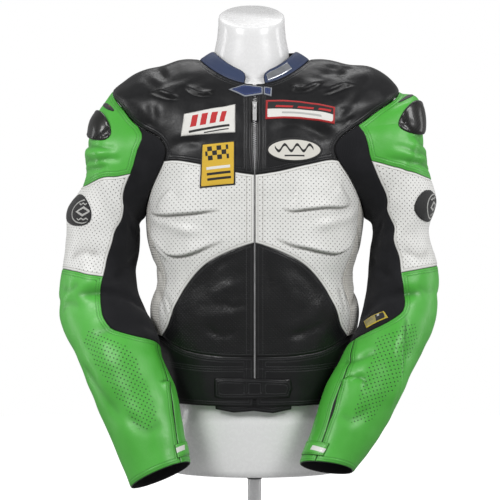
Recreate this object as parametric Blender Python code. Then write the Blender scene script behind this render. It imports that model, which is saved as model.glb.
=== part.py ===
# A race-style leather jacket on a limbless dress form with a round stand.
# Metres, +Z up. The front faces -Y, the wearer's left is +X, the origin is under the middle of the base.
# The cloth is worked out as one surface (body, two sleeves, collar), cut into panels along its seams.

import math
from collections import namedtuple
from functools import lru_cache

import bpy
import numpy as np
from mathutils import Matrix, Vector
from mathutils.geometry import delaunay_2d_cdt

LEATHER = 0.0020          # wall of a leather panel
SEAM_GAP = 0.0003         # space between two pieces
STEP = 0.034              # spacing of the points inside a panel
EDGE_STEP = 0.027         # spacing of the points along a seam
BODY_ROUND = 0.16         # metres of pattern for one radian round the body
SLEEVE_ROUND = 0.065      # the same round a sleeve
ZIP_HALF = 0.003          # half of the slot that the zip's teeth fill
TAPE_HALF = 0.013         # half of the zip's two tapes
COLLAR_RISE = 0.028
COLLAR_WALL = 0.0026
CUFF_LINING = 0.030       # how far up the cuff its lining reaches
ZIP_TOP = 0.735           # heights where the teeth, and the tapes, begin and end
TAPE_TOP = 0.738
ZIP_END = 0.262
ZIP_POINTS = 20
HEM_ROUND = 0.82          # lengths round the hem, a cuff, the neckline and a sleeve's two halves
CUFF_ROUND = 0.31
NECK_RADIUS = 0.085
UPPER_ARM_ROUND = 0.43
FOREARM_ROUND = 0.39
UPPER_ARM_LONG = 0.42
ROW_RISE = 0.87           # spacing of the rows of loose points, and their distance from a line,
LINE_CLEAR = 0.42         # both as a share of STEP
STRAP = 0.0014            # thickness of what is sewn on
TAPE_THICK = 0.0008

FORM_UNDER = 0.0004       # space between the leather and the form on the shoulders
FORM_EASE = 0.0060        # more of it below them, and more again at the waist
WAIST_EASE = 0.0060
FORM_BOTTOM = 0.121
BASE_RADIUS = 0.150
BASE_THICK = 0.008
POLE_RADIUS = 0.011
SOCKET_RADIUS = 0.0125
SOCKET_TALL = 0.012

# The form below the hem and above the neckline: middle, height, how much lower its front is, half
# the width and half the depth.
FormRing = namedtuple("FormRing", "x y z tilt half deep")
HIP_RINGS = (
    FormRing(0, 0, 0.205, 0, 0.138, 0.098),
    FormRing(0, 0, 0.165, 0, 0.138, 0.098),
    FormRing(0, 0, FORM_BOTTOM + 0.012, 0, 0.140, 0.099),
    FormRing(0, 0, FORM_BOTTOM + 0.002, 0, 0.138, 0.097),
    FormRing(0, 0, FORM_BOTTOM, 0, 0.134, 0.093),
)
NECK_RINGS = (
    FormRing(-0.005, 0.004, 0.787, 0.018, 0.0630, 0.0530),
    FormRing(-0.005, 0.005, 0.815, 0.015, 0.0622, 0.0550),
    FormRing(-0.005, 0.006, 0.840, 0.018, 0.0572, 0.0550),
    FormRing(-0.005, 0.006, 0.8725, 0.025, 0.0550, 0.0550),
    FormRing(-0.005, 0.006, 0.8770, 0.025, 0.0520, 0.0520),
)

SLIDER_Z = 0.7195
SLIDER_SIZE = (0.0075, 0.0130, 0.0028)
PULL_LONG = 0.026
PULL_WIDE = 0.0062
PULL_THICK = 0.0012

# Rings of the body from the hem up: heights at the front, the side and the back, half the width,
# the depths in front of the axis and behind it, how much fuller than an ellipse, and how far its two
# sides lie towards the wearer's left.
Ring = namedtuple("Ring", "front side back half ahead behind full lean")
BODY_RINGS = (
    Ring(0.223, 0.224, 0.224, 0.146, 0.109, 0.104, 0.00, 0.000),
    Ring(0.237, 0.239, 0.239, 0.147, 0.110, 0.104, 0.00, 0.000),
    Ring(0.300, 0.301, 0.301, 0.154, 0.112, 0.103, 0.00, 0.000),
    Ring(0.345, 0.346, 0.346, 0.167, 0.115, 0.102, 0.01, 0.000),
    Ring(0.388, 0.389, 0.389, 0.173, 0.117, 0.101, 0.02, 0.000),
    Ring(0.440, 0.440, 0.440, 0.162, 0.117, 0.100, 0.03, 0.000),
    Ring(0.500, 0.500, 0.500, 0.176, 0.120, 0.106, 0.04, 0.000),
    Ring(0.550, 0.552, 0.552, 0.181, 0.122, 0.112, 0.05, 0.000),
    Ring(0.600, 0.612, 0.608, 0.189, 0.121, 0.118, 0.05, 0.000),
    Ring(0.645, 0.672, 0.662, 0.206, 0.116, 0.120, 0.05, 0.000),
    Ring(0.680, 0.722, 0.708, 0.229, 0.108, 0.115, 0.05, 0.000),
    Ring(0.697, 0.750, 0.735, 0.237, 0.103, 0.108, 0.04, 0.002),
    Ring(0.708, 0.771, 0.752, 0.216, 0.099, 0.103, 0.03, 0.008),
    Ring(0.719, 0.784, 0.766, 0.188, 0.095, 0.098, 0.02, 0.010),
    Ring(0.732, 0.792, 0.780, 0.155, 0.090, 0.093, 0.01, 0.007),
    Ring(0.744, 0.799, 0.789, 0.120, 0.084, 0.088, 0.00, 0.003),
    Ring(0.757, 0.801, 0.797, 0.091, 0.076, 0.082, 0.00, 0.000),
)

# The armhole: its angle round the sleeve (0 the top, 90 the front, 180 the underarm), and its place on
# the body as degrees from the centre front, for the right and the left sleeve, and height.
Hole = namedtuple("Hole", "angle r l height")
ARMHOLE = (
    Hole(0, 90, 90, 0.751),
    Hole(30, 66, 60, 0.722),
    Hole(55, 55, 46, 0.691),
    Hole(80, 43.5, 38, 0.668),
    Hole(95, 42, 37, 0.651),
    Hole(112, 45, 41, 0.631),
    Hole(135, 57, 55, 0.595),
    Hole(155, 72, 71, 0.561),
    Hole(180, 90, 90, 0.542),
    Hole(210, 112, 112, 0.566),
    Hole(240, 124, 124, 0.612),
    Hole(270, 125, 125, 0.664),
    Hole(305, 116, 116, 0.712),
    Hole(332, 104, 104, 0.740),
)

# Rings of each sleeve from the shoulder to the cuff: the outermost and the innermost point seen from
# the front (distance from the centre, height), how far the ring's middle lies behind the axis, its depth.
Cuffward = namedtuple("Cuffward", "out_x out_z in_x in_z back deep")
SLEEVE_RINGS = {
    "r": (
        Cuffward(0.266, 0.702, 0.197, 0.530, 0.000, 0.165),
        Cuffward(0.2775, 0.660, 0.198, 0.522, 0.000, 0.160),
        Cuffward(0.283, 0.600, 0.198, 0.514, 0.000, 0.153),
        Cuffward(0.309, 0.556, 0.197, 0.505, 0.000, 0.149),
        Cuffward(0.312, 0.507, 0.195, 0.487, -0.001, 0.146),
        Cuffward(0.319, 0.450, 0.196, 0.452, -0.006, 0.144),
        Cuffward(0.323, 0.402, 0.189, 0.412, -0.020, 0.142),
        Cuffward(0.315, 0.362, 0.173, 0.380, -0.036, 0.134),
        Cuffward(0.294, 0.324, 0.158, 0.352, -0.061, 0.124),
        Cuffward(0.272, 0.279, 0.148, 0.315, -0.086, 0.116),
        Cuffward(0.251, 0.233, 0.128, 0.270, -0.106, 0.110),
        Cuffward(0.228, 0.187, 0.117, 0.223, -0.126, 0.102),
        Cuffward(0.195, 0.112, 0.101, 0.153, -0.148, 0.092),
    ),
    "l": (
        Cuffward(0.276, 0.708, 0.195, 0.530, 0.000, 0.165),
        Cuffward(0.280, 0.664, 0.196, 0.522, 0.000, 0.160),
        Cuffward(0.293, 0.604, 0.196, 0.514, 0.000, 0.152),
        Cuffward(0.300, 0.572, 0.195, 0.505, 0.000, 0.148),
        Cuffward(0.289, 0.522, 0.192, 0.488, -0.001, 0.144),
        Cuffward(0.303, 0.463, 0.189, 0.457, -0.005, 0.142),
        Cuffward(0.303, 0.410, 0.184, 0.415, -0.018, 0.140),
        Cuffward(0.296, 0.370, 0.174, 0.380, -0.036, 0.132),
        Cuffward(0.274, 0.325, 0.160, 0.347, -0.062, 0.122),
        Cuffward(0.248, 0.279, 0.138, 0.312, -0.086, 0.112),
        Cuffward(0.226, 0.236, 0.112, 0.268, -0.106, 0.106),
        Cuffward(0.200, 0.193, 0.097, 0.222, -0.124, 0.098),
        Cuffward(0.156, 0.137, 0.071, 0.151, -0.146, 0.088),
    ),
}

# Raised pads and swellings of the leather: place (x, y, z from the axis, mirrored), reach and height.
Swell = namedtuple("Swell", "x y z reach height")
SHOULDER_PADS = (
    Swell(0.112, 0.000, 0.800, 0.034, 0.004),
    Swell(0.192, 0.000, 0.784, 0.030, 0.004),
    Swell(0.150, -0.070, 0.730, 0.045, 0.003),
)

# Folds of the body: from and to (x, z at the front), half width and depth, a minus for a ridge.
Fold = namedtuple("Fold", "x1 z1 x2 z2 wide deep")
BODY_FOLDS = (
    Fold(0.050, 0.551, 0.155, 0.553, 0.010, 0.0045),
    Fold(0.045, 0.506, 0.110, 0.480, 0.010, 0.0045),
    Fold(0.110, 0.480, 0.152, 0.545, 0.010, 0.0045),
    Fold(0.060, 0.535, 0.130, 0.525, 0.022, -0.0050),
    Fold(0.060, 0.590, 0.140, 0.580, 0.026, -0.0045),
    Fold(0.130, 0.470, 0.160, 0.400, 0.012, 0.0040),
)

# Folds of the sleeves: angle and ring where each starts and ends, half width and depth.
Crease = namedtuple("Crease", "angle1 ring1 angle2 ring2 wide deep")
SLEEVE_FOLDS = {
    "r": (
        Crease(-60, 2.2, 14, 2.6, 0.010, 0.003),
        Crease(14, 2.6, 74, 1.3, 0.010, 0.004),
        Crease(60, 7.3, 170, 7.9, 0.014, 0.007),
        Crease(60, 9.2, 170, 9.0, 0.012, 0.005),
        Crease(20, 9.6, 60, 11.6, 0.012, 0.004),
    ),
    "l": (
        Crease(-60, 2.1, 24, 2.5, 0.010, 0.003),
        Crease(24, 2.5, 74, 1.2, 0.010, 0.004),
        Crease(-50, 0.55, 40, 0.55, 0.022, -0.011),
        Crease(60, 7.4, 170, 8.3, 0.014, 0.007),
        Crease(78, 8.95, 22, 10.7, 0.012, 0.006),
        Crease(100, 9.9, 170, 10.2, 0.012, 0.004),
    ),
}

COLOURS = {
    "black_leather": ((0.022, 0.022, 0.024, 1), 0.38, 0.0),
    "white_leather": ((0.78, 0.78, 0.75, 1), 0.45, 0.0),
    "green_leather": ((0.085, 0.46, 0.055, 1), 0.42, 0.0),
    "blue_leather": ((0.025, 0.045, 0.135, 1), 0.45, 0.0),
    "black_textile": ((0.014, 0.014, 0.017, 1), 0.85, 0.0),
    "hard_black": ((0.02, 0.02, 0.02, 1), 0.25, 0.0),
    "metal": ((0.55, 0.55, 0.55, 1), 0.3, 1.0),
    "cream_fabric": ((0.85, 0.82, 0.72, 1), 0.8, 0.0),
    "yellow_fabric": ((0.80, 0.55, 0.06, 1), 0.8, 0.0),
    "red_fabric": ((0.60, 0.03, 0.03, 1), 0.8, 0.0),
    "white_gloss": ((0.82, 0.82, 0.82, 1), 0.2, 0.0),
}


def glide(knots, values, at):
    """A smooth curve through the values, one row for each knot, read at the given places."""
    knots = np.asarray(knots, float)
    values = np.asarray(values, float)
    at = np.atleast_1d(np.asarray(at, float))
    slopes = np.gradient(values, knots, axis=0)
    i = np.clip(np.searchsorted(knots, at, side="right") - 1, 0, len(knots) - 2)
    span = knots[i + 1] - knots[i]
    t = (at - knots[i]) / span
    if values.ndim == 3:
        pick = np.arange(len(at))
        start, end = values[i, pick], values[i + 1, pick]
        out, into = slopes[i, pick], slopes[i + 1, pick]
    else:
        start, end = values[i], values[i + 1]
        out, into = slopes[i], slopes[i + 1]
    t = t[:, None]
    span = span[:, None]
    bend = (2 * t**3 - 3 * t**2 + 1) * start + (3 * t**2 - 2 * t**3) * end
    return bend + span * ((t**3 - 2 * t**2 + t) * out + (t**3 - t**2) * into)


def ring_levels():
    """How far up the pattern each ring lies: its mean distance from the one below, at four sides."""
    lengths = [0.0]
    for low, high in zip(BODY_RINGS, BODY_RINGS[1:]):
        front = math.hypot(high.front - low.front, high.ahead - low.ahead)
        side = math.hypot(high.side - low.side, high.half - low.half)
        back = math.hypot(high.back - low.back, high.behind - low.behind)
        lengths.append(lengths[-1] + (front + 2 * side + back) / 4)
    return np.array(lengths)


LEVELS = ring_levels()
HEM_LEVEL = LEVELS[1]
TOP_LEVEL = LEVELS[-1]


def body_base(turn, level):
    """Points of the body's surface, from degrees off the centre front and metres up the pattern."""
    front, side, back, half, ahead, behind, full, lean = glide(LEVELS, BODY_RINGS, level).T
    angle = np.radians(turn)
    sine, cosine = np.sin(angle), np.cos(angle)
    facing = cosine > 0
    height = side + (np.where(facing, front, back) - side) * cosine**2
    swell = 1 + full * np.sin(2 * angle) ** 2
    depth = np.where(facing, ahead, behind)
    return np.stack([half * sine * swell + lean * sine**2, -depth * cosine * swell, height], axis=1)


def level_at(turn, height):
    """The level at which the body's surface reaches a height."""
    turn = np.atleast_1d(np.asarray(turn, float))
    low = np.zeros(len(turn))
    high = np.full(len(turn), TOP_LEVEL)
    for _ in range(32):
        middle = (low + high) / 2
        under = body_base(turn, middle)[:, 2] < height
        low = np.where(under, middle, low)
        high = np.where(under, high, middle)
    return (low + high) / 2


def body_flat(turn, height):
    """Pattern coordinates of a place given as degrees from the centre front and height."""
    return np.array([math.radians(turn) * BODY_ROUND, level_at(turn, height)[0]])


@lru_cache(maxsize=None)
def front_flat(x, z):
    """Pattern coordinates of the place at the front that lies at x and z."""
    turns = np.linspace(0, 89.5, 180) * (1 if x >= 0 else -1)
    levels = level_at(turns, z)
    across = np.abs(body_base(turns, levels)[:, 0])
    upto = int(np.argmax(across)) + 1
    turn = np.interp(abs(x), across[:upto], turns[:upto])
    return np.array([math.radians(turn) * BODY_ROUND, level_at(turn, z)[0]])


def distance_to_stretch(points, start, end):
    """Distance of points from a straight stretch, and how far along it each is nearest, 0 to 1."""
    along = end - start
    t = np.clip(((points - start) @ along) / (along @ along), 0, 1)
    return np.linalg.norm(points - start - t[:, None] * along, axis=1), t


def sink(points, start, end, wide, deep):
    """A soft trough along a stretch, faded out at its two ends."""
    away, t = distance_to_stretch(points, start, end)
    fade = np.minimum(1, 0.35 + 2.2 * np.minimum(t, 1 - t))
    return -deep * fade * np.exp(-((away / wide) ** 2))


def body_point(flat):
    """Places in space of pattern points of the body, with its pads and folds."""
    turn = np.degrees(flat[:, 0] / BODY_ROUND)
    level = np.clip(flat[:, 1], 0, TOP_LEVEL)
    base = body_base(turn, level)
    small = 1e-4
    across = body_base(turn + 0.1, level) - base
    up = np.where(level < TOP_LEVEL - small, 1, -1)
    rising = (body_base(turn, level + up * small) - base) * up[:, None]
    normal = np.cross(across, rising)
    normal /= np.linalg.norm(normal, axis=1)[:, None]
    lift = np.zeros(len(flat))
    for side in (-1, 1):
        for pad in SHOULDER_PADS:
            middle = np.array([side * pad.x, pad.y, pad.z])
            lift += pad.height * np.exp(-(np.linalg.norm(base - middle, axis=1) / pad.reach) ** 2)
        for fold in BODY_FOLDS:
            start = front_flat(side * fold.x1, fold.z1)
            end = front_flat(side * fold.x2, fold.z2)
            lift += sink(flat, start, end, fold.wide, fold.deep)
    return base + normal * lift[:, None]


def armhole_flats(side, angles):
    """Pattern coordinates on the body of the armhole, for angles round the sleeve."""
    rows = np.array([(row.angle, getattr(row, side), row.height) for row in ARMHOLE], float)
    lap = np.concatenate([rows - [360, 0, 0], rows, rows + [360, 0, 0]])
    turn, height = glide(lap[:, 0], lap[:, 1:], np.mod(angles, 360)).T
    turn = turn * side_sign(side)
    return np.stack([np.radians(turn) * BODY_ROUND, level_at(turn, height)], axis=1)


def armhole_flat(side, angle):
    return armhole_flats(side, [angle])[0]


def side_sign(side):
    return -1 if side == "r" else 1


def sleeve_rings(side, angle):
    """For each angle, the points where its line along the sleeve crosses the armhole and the rings."""
    sign = side_sign(side)
    rings = [body_point(armhole_flats(side, angle))]
    rows = SLEEVE_RINGS[side]
    middles = [
        np.array([sign * (row.out_x + row.in_x) / 2, row.back, (row.out_z + row.in_z) / 2])
        for row in rows
    ]
    turned = np.radians(angle)[:, None]
    for i, row in enumerate(rows):
        outward = np.array([sign * row.out_x, row.back, row.out_z]) - middles[i]
        after = middles[min(i + 1, len(rows) - 1)]
        before = middles[max(i - 1, 0)]
        forward = np.cross(outward, after - before) * -sign
        forward *= row.deep / 2 / np.linalg.norm(forward)
        rings.append(middles[i] + np.cos(turned) * outward + np.sin(turned) * forward)
    return np.array(rings)


class Sleeve:
    """One sleeve's surface: pattern points (angle times SLEEVE_ROUND, metres along) to space."""

    def __init__(self, side):
        self.side = side
        laps = sleeve_rings(side, np.arange(0.0, 360.0, 15.0))
        gaps = np.linalg.norm(np.diff(laps, axis=0), axis=2).mean(axis=1)
        self.along = np.concatenate([[0], np.cumsum(gaps)])
        self.long = self.along[-1]

    def flat(self, angle, ring):
        along = np.interp(ring, range(len(self.along)), self.along)
        return np.array([math.radians(angle) * SLEEVE_ROUND, along])

    def base(self, flat):
        angle = np.degrees(flat[:, 0] / SLEEVE_ROUND).round(6)
        rings = sleeve_rings(self.side, angle)
        return glide(self.along, rings, np.clip(flat[:, 1], 0, self.long))

    def point(self, flat):
        base = self.base(flat)
        small = 1e-3
        across = self.base(flat + [small, 0]) - base
        down = np.where(flat[:, 1] < self.long - small, 1, -1)
        falling = (self.base(flat + np.outer(down, [0, small])) - base) * down[:, None]
        normal = np.cross(falling, across) * -side_sign(self.side)
        normal /= np.linalg.norm(normal, axis=1)[:, None]
        lift = np.zeros(len(flat))
        for fold in SLEEVE_FOLDS[self.side]:
            start = self.flat(fold.angle1, fold.ring1)
            end = self.flat(fold.angle2, fold.ring2)
            for lap in (-360, 0, 360):
                shift = np.array([math.radians(lap) * SLEEVE_ROUND, 0])
                lift += sink(flat, start + shift, end + shift, fold.wide, fold.deep)
        lift *= np.clip(flat[:, 1] / 0.03, 0, 1)
        return base + normal * lift[:, None]


def curve(points, step=EDGE_STEP, closed=False):
    """A smooth line through pattern points, cut into lengths of about one step. It keeps its points."""
    points = [np.asarray(p, float) for p in points]
    ring = points + [points[0]] if closed else points
    lengths = [np.linalg.norm(b - a) for a, b in zip(ring, ring[1:])]
    knots = np.concatenate([[0], np.cumsum(lengths)])
    values = np.array(ring)
    if closed:
        knots = np.concatenate([[-lengths[-1]], knots, [knots[-1] + lengths[0]]])
        values = np.concatenate([[points[-1]], values, [points[1]]])
    first = 1 if closed else 0
    line = []
    for i, length in enumerate(lengths):
        count = max(1, round(length / step))
        at = knots[first + i] + length * np.arange(count) / count
        line.extend(glide(knots, values, at))
    if not closed:
        line.append(ring[-1])
    return line


def straight(points, step=EDGE_STEP, closed=False):
    """The same with straight stretches between the points."""
    points = [np.asarray(p, float) for p in points]
    ring = points + [points[0]] if closed else points
    line = []
    for a, b in zip(ring, ring[1:]):
        count = max(1, round(np.linalg.norm(b - a) / step))
        line.extend(a + (b - a) * i / count for i in range(count))
    if not closed:
        line.append(ring[-1])
    return line


def inside(points, outline):
    """Which points lie inside a closed outline."""
    found = np.zeros(len(points), bool)
    outline = np.asarray(outline)
    for (x1, y1), (x2, y2) in zip(outline, np.roll(outline, -1, axis=0)):
        crosses = (y1 > points[:, 1]) != (y2 > points[:, 1])
        with np.errstate(divide="ignore", invalid="ignore"):
            at = x1 + (points[:, 1] - y1) * (x2 - x1) / (y2 - y1)
        found ^= crosses & (points[:, 0] < at)
    return found


class Pattern:
    """A flat pattern: seams, outlines of what lies on it and loose points, joined into triangles."""

    def __init__(self, to_space, flipped=False):
        self.to_space = to_space
        self.flipped = flipped
        self.lines = []
        self.outlines = {}
        self.loose = []

    def seam(self, line, closed=False, snap=True):
        self.lines.append([list(line), closed, True, snap])

    def overlay(self, name, line):
        self.outlines[name] = list(line)
        self.lines.append([list(line), True, False, False])

    def guide(self, line):
        self.lines.append([list(line), False, False, False])

    def join_ends(self, reach=0.006):
        """Each loose end of a seam is put on the seam that it meets, which gets a point there."""
        for n, (line, closed, is_seam, snap) in enumerate(self.lines):
            if closed or not snap or not is_seam:
                continue
            for end in (0, -1):
                self.join_end(n, line, end, reach)

    def join_end(self, n, line, end, reach):
        best = None
        for m, (other, closed, is_seam, _) in enumerate(self.lines):
            if m == n or not is_seam:
                continue
            for i in range(len(other) if closed else len(other) - 1):
                a, b = other[i], other[(i + 1) % len(other)]
                away, t = distance_to_stretch(line[end][None], a, b)
                if best is None or away[0] < best[0]:
                    best = (away[0], m, i, t[0], a, b)
        away, m, i, t, a, b = best
        if away > reach:
            return
        length = np.linalg.norm(b - a)
        if t * length < 0.003:
            line[end] = a
        elif (1 - t) * length < 0.003:
            line[end] = b
        else:
            line[end] = a + (b - a) * t
            self.lines[m][0].insert(i + 1, line[end])

    def scatter(self, points, clear):
        """Adds loose points, but for those too near a line."""
        points = np.asarray(points)
        keep = np.ones(len(points), bool)
        for line, closed, _, _ in self.lines:
            ring = line + [line[0]] if closed else line
            for a, b in zip(ring, ring[1:]):
                if np.linalg.norm(b - a) > 1e-9:
                    keep &= distance_to_stretch(points, a, b)[0] > clear
        self.loose.extend(points[keep])

    def weave(self):
        """Joins it all into triangles, and notes which of their edges are seams."""
        points, edges, seams = [], [], []
        for line, closed, is_seam, _ in self.lines:
            first = len(points)
            points.extend(line)
            count = len(line)
            for i in range(count if closed else count - 1):
                edges.append((first + i, first + (i + 1) % count))
                seams.append(is_seam)
        points.extend(self.loose)
        flat, out_edges, faces, _, from_edges, _ = delaunay_2d_cdt(
            [Vector((p[0], p[1])) for p in points], edges, [], 0, 1e-6
        )
        self.flat_points = np.array([tuple(p) for p in flat])
        self.faces = [tuple(face) for face in faces if self.area(face) > 1e-9]
        cut = set()
        for edge, sources in zip(out_edges, from_edges):
            if any(seams[source] for source in sources if source < len(seams)):
                cut.add(tuple(sorted(edge)))
        self.cut = cut
        self.space = self.to_space(self.flat_points)
        self.middles = np.array([self.flat_points[list(face)].mean(axis=0) for face in self.faces])

    def area(self, face):
        a, b, c = (self.flat_points[i] for i in face)
        return abs((b[0] - a[0]) * (c[1] - a[1]) - (b[1] - a[1]) * (c[0] - a[0])) / 2

    def panel(self, seeds):
        """The triangles that are reached from the ones at the seeds with no seam crossed."""
        by_edge = {}
        for n, face in enumerate(self.faces):
            for i in range(3):
                by_edge.setdefault(tuple(sorted((face[i], face[(i + 1) % 3]))), []).append(n)
        found = set()
        open_faces = [self.face_at(np.asarray(seed)) for seed in seeds]
        while open_faces:
            n = open_faces.pop()
            if n in found:
                continue
            found.add(n)
            face = self.faces[n]
            for i in range(3):
                edge = tuple(sorted((face[i], face[(i + 1) % 3])))
                if edge not in self.cut:
                    open_faces.extend(by_edge[edge])
        return sorted(found)

    def face_at(self, seed):
        for n, face in enumerate(self.faces):
            if inside(seed[None], self.flat_points[list(face)])[0]:
                return n
        return int(np.argmin(np.linalg.norm(self.middles - seed, axis=1)))

    def under(self, outline):
        """The triangles that an outline holds."""
        return np.nonzero(inside(self.middles, outline))[0].tolist()


class Cloth:
    """All patterns as one surface in space, with a shared normal at each point."""

    def __init__(self):
        self.points = []
        self.index = {}
        self.faces = {}
        self.skip = set()

    def add(self, key, pattern, skip=()):
        ids = []
        for point in pattern.space:
            place = tuple(np.round(point, 6))
            if place not in self.index:
                self.index[place] = len(self.points)
                self.points.append(point)
            ids.append(self.index[place])
        for n, face in enumerate(pattern.faces):
            corners = [ids[i] for i in face]
            if pattern.flipped:
                corners.reverse()
            if len(set(corners)) == 3:
                self.faces[key, n] = tuple(corners)
        self.skip |= {(key, n) for n in skip}

    def settle(self):
        """Works out the normals, and how much longer a step is where the surface folds sharply."""
        self.points = np.array(self.points)
        self.normals, self.stretch = self.normals_of(set(self.faces) - self.skip)

    def normals_of(self, keys):
        totals = {}
        units = {}
        for key in sorted(keys):
            a, b, c = (self.points[i] for i in self.faces[key])
            cross = np.cross(b - a, c - a)
            units[key] = cross / (np.linalg.norm(cross) + 1e-15)
            total = totals.setdefault(key[0], np.zeros_like(self.points))
            for i in self.faces[key]:
                total[i] += cross
        normals = sum(total / (np.linalg.norm(total, axis=1)[:, None] + 1e-15) for total in totals.values())
        normals /= np.linalg.norm(normals, axis=1)[:, None] + 1e-15
        agree = np.zeros(len(self.points))
        count = np.zeros(len(self.points))
        for key, unit in units.items():
            for i in self.faces[key]:
                agree[i] += unit @ normals[i]
                count[i] += 1
        return normals, 1 / np.clip(agree / np.maximum(count, 1), 0.6, 1)

    def solid(self, name, keys, outer, inner, material, gap=SEAM_GAP / 2):
        """A wall over some triangles, between two distances from the surface, its rim drawn in."""
        faces = [self.faces[key] for key in keys if key in self.faces]
        used = sorted({i for face in faces for i in face})
        place = {i: n for n, i in enumerate(used)}
        points = self.points[used]
        normals = self.normals[used]
        stretch = self.stretch[used][:, None]
        sides = {}
        for face in faces:
            for i in range(3):
                sides[face[i], face[(i + 1) % 3]] = face
        rim = [edge for edge in sides if (edge[1], edge[0]) not in sides]
        inward = np.zeros_like(points)
        drawn = [[] for _ in used]
        for a, b in rim:
            along = self.points[b] - self.points[a]
            way = np.cross(self.normals[a] + self.normals[b], along)
            way /= np.linalg.norm(way)
            for i in (a, b):
                inward[place[i]] += way
                drawn[place[i]].append(way)
        for n, ways in enumerate(drawn):
            if ways:
                way = inward[n] / (np.linalg.norm(inward[n]) + 1e-12)
                inward[n] = way * gap / max(0.4, min(way @ other for other in ways))
        outer = outer(points) if callable(outer) else np.full(len(points), outer)
        inner = np.full(len(points), inner)
        top = points + inward + normals * stretch * outer[:, None]
        bottom = points + inward + normals * stretch * inner[:, None]
        count = len(used)
        mesh_faces = [tuple(place[i] for i in face) for face in faces]
        mesh_faces += [tuple(place[i] + count for i in reversed(face)) for face in faces]
        for a, b in rim:
            i, k = place[a], place[b]
            corner = i + count if a < b else k + count
            mesh_faces += [(k, i, corner), (k if a < b else i, i + count, k + count)]
        return mesh_object(name, np.concatenate([top, bottom]).tolist(), mesh_faces, material)


def material_named(name):
    found = bpy.data.materials.get(name)
    if found:
        return found
    colour, roughness, metallic = COLOURS[name]
    made = bpy.data.materials.new(name)
    made.use_nodes = True
    shader = made.node_tree.nodes["Principled BSDF"]
    shader.inputs["Base Color"].default_value = colour
    shader.inputs["Roughness"].default_value = roughness
    shader.inputs["Metallic"].default_value = metallic
    made.diffuse_color = colour
    return made


def mesh_object(name, points, faces, material):
    mesh = bpy.data.meshes.new(name)
    mesh.from_pydata(points, [], faces)
    mesh.update()
    mesh.materials.append(material_named(material).copy())
    mesh.materials[0].name = name
    made = bpy.data.objects.new(name, mesh)
    bpy.context.scene.collection.objects.link(made)
    return made


# Body seams. Each is named for what it parts, with its points as (x, z) at the front.
YOKE_SEAM = ((0.132, 0.632), (0.086, 0.625), (0.040, 0.614), (0.003, 0.608))
ARCH_SEAM = (
    (0.003, 0.4995), (0.045, 0.484), (0.084, 0.461), (0.113, 0.427),
    (0.130, 0.396), (0.140, 0.366), (0.152, 0.347),
)
BAND_SEAM = ((0.003, 0.317), (0.060, 0.318), (0.108, 0.325), (0.152, 0.347))

# Those on the sides and the back, as degrees from the centre front and height.
BAND_TURN = ((70, 0.349), (112, 0.336), (150, 0.322), (180, 0.318))
LOWER_BACK = ((112, 0.430), (150, 0.446), (180, 0.452))
YOKE_BACK = ((150, 0.645), (180, 0.640))
SIDE_FRONT = ((66, 0.520), (63, 0.480), (60, 0.440), (63, 0.395))
SIDE_BACK = ((112, 0.520), (110, 0.430), (112, 0.336))

# Where seams meet the armhole (angles round the sleeve) and the neckline (degrees from the front).
ARMHOLE_MEETS = (0, 56, 112, 148, 210, 262, 305)
NECK_MEETS = (1.9, 9.0, 10.5, 90)


def armhole_angles(side):
    """Angles of the armhole's points: those where seams meet it, and others evenly between."""
    angles = []
    meets = ARMHOLE_MEETS + (ARMHOLE_MEETS[0] + 360,)
    for a, b in zip(meets, meets[1:]):
        places = body_point(np.array([armhole_flat(side, v) for v in np.linspace(a, b, 9)]))
        length = np.linalg.norm(np.diff(places, axis=0), axis=1).sum()
        count = max(1, round(length / EDGE_STEP))
        angles.extend(a + (b - a) * i / count for i in range(count))
    return angles


def neck_turns():
    """Turns of the points round the neckline, from the centre back round the front to the centre back."""
    half = [0.0]
    for a, b in zip((0.0,) + NECK_MEETS, NECK_MEETS + (180.0,)):
        count = max(1, round(math.radians(b - a) * NECK_RADIUS / EDGE_STEP))
        half.extend(a + (b - a) * (i + 1) / count for i in range(count))
    return [-turn for turn in reversed(half)] + half[1:]


def ring_rows(highest, round_at, spread):
    """Rows of points across a pattern, as many in each as its real length round needs."""
    points = []
    count = round(highest / (STEP * ROW_RISE))
    for i in range(1, count):
        along = highest * i / count
        places = max(8, round(round_at(along) / STEP))
        shift = 0.5 * (i % 2)
        for k in range(places):
            points.append(np.array([((k + shift) / places - 0.5) * spread, along]))
    return points


def both(side, points):
    sign = side_sign(side)
    return [front_flat(sign * x, z) for x, z in points]


def turned(side, points):
    sign = side_sign(side)
    return [body_flat(sign * turn, z) for turn, z in points]


def body_round(level):
    """Length round the body at a level, near enough to space its points."""
    return 4.1 * body_base([90.0], [level])[0, 0] + 0.1


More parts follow.
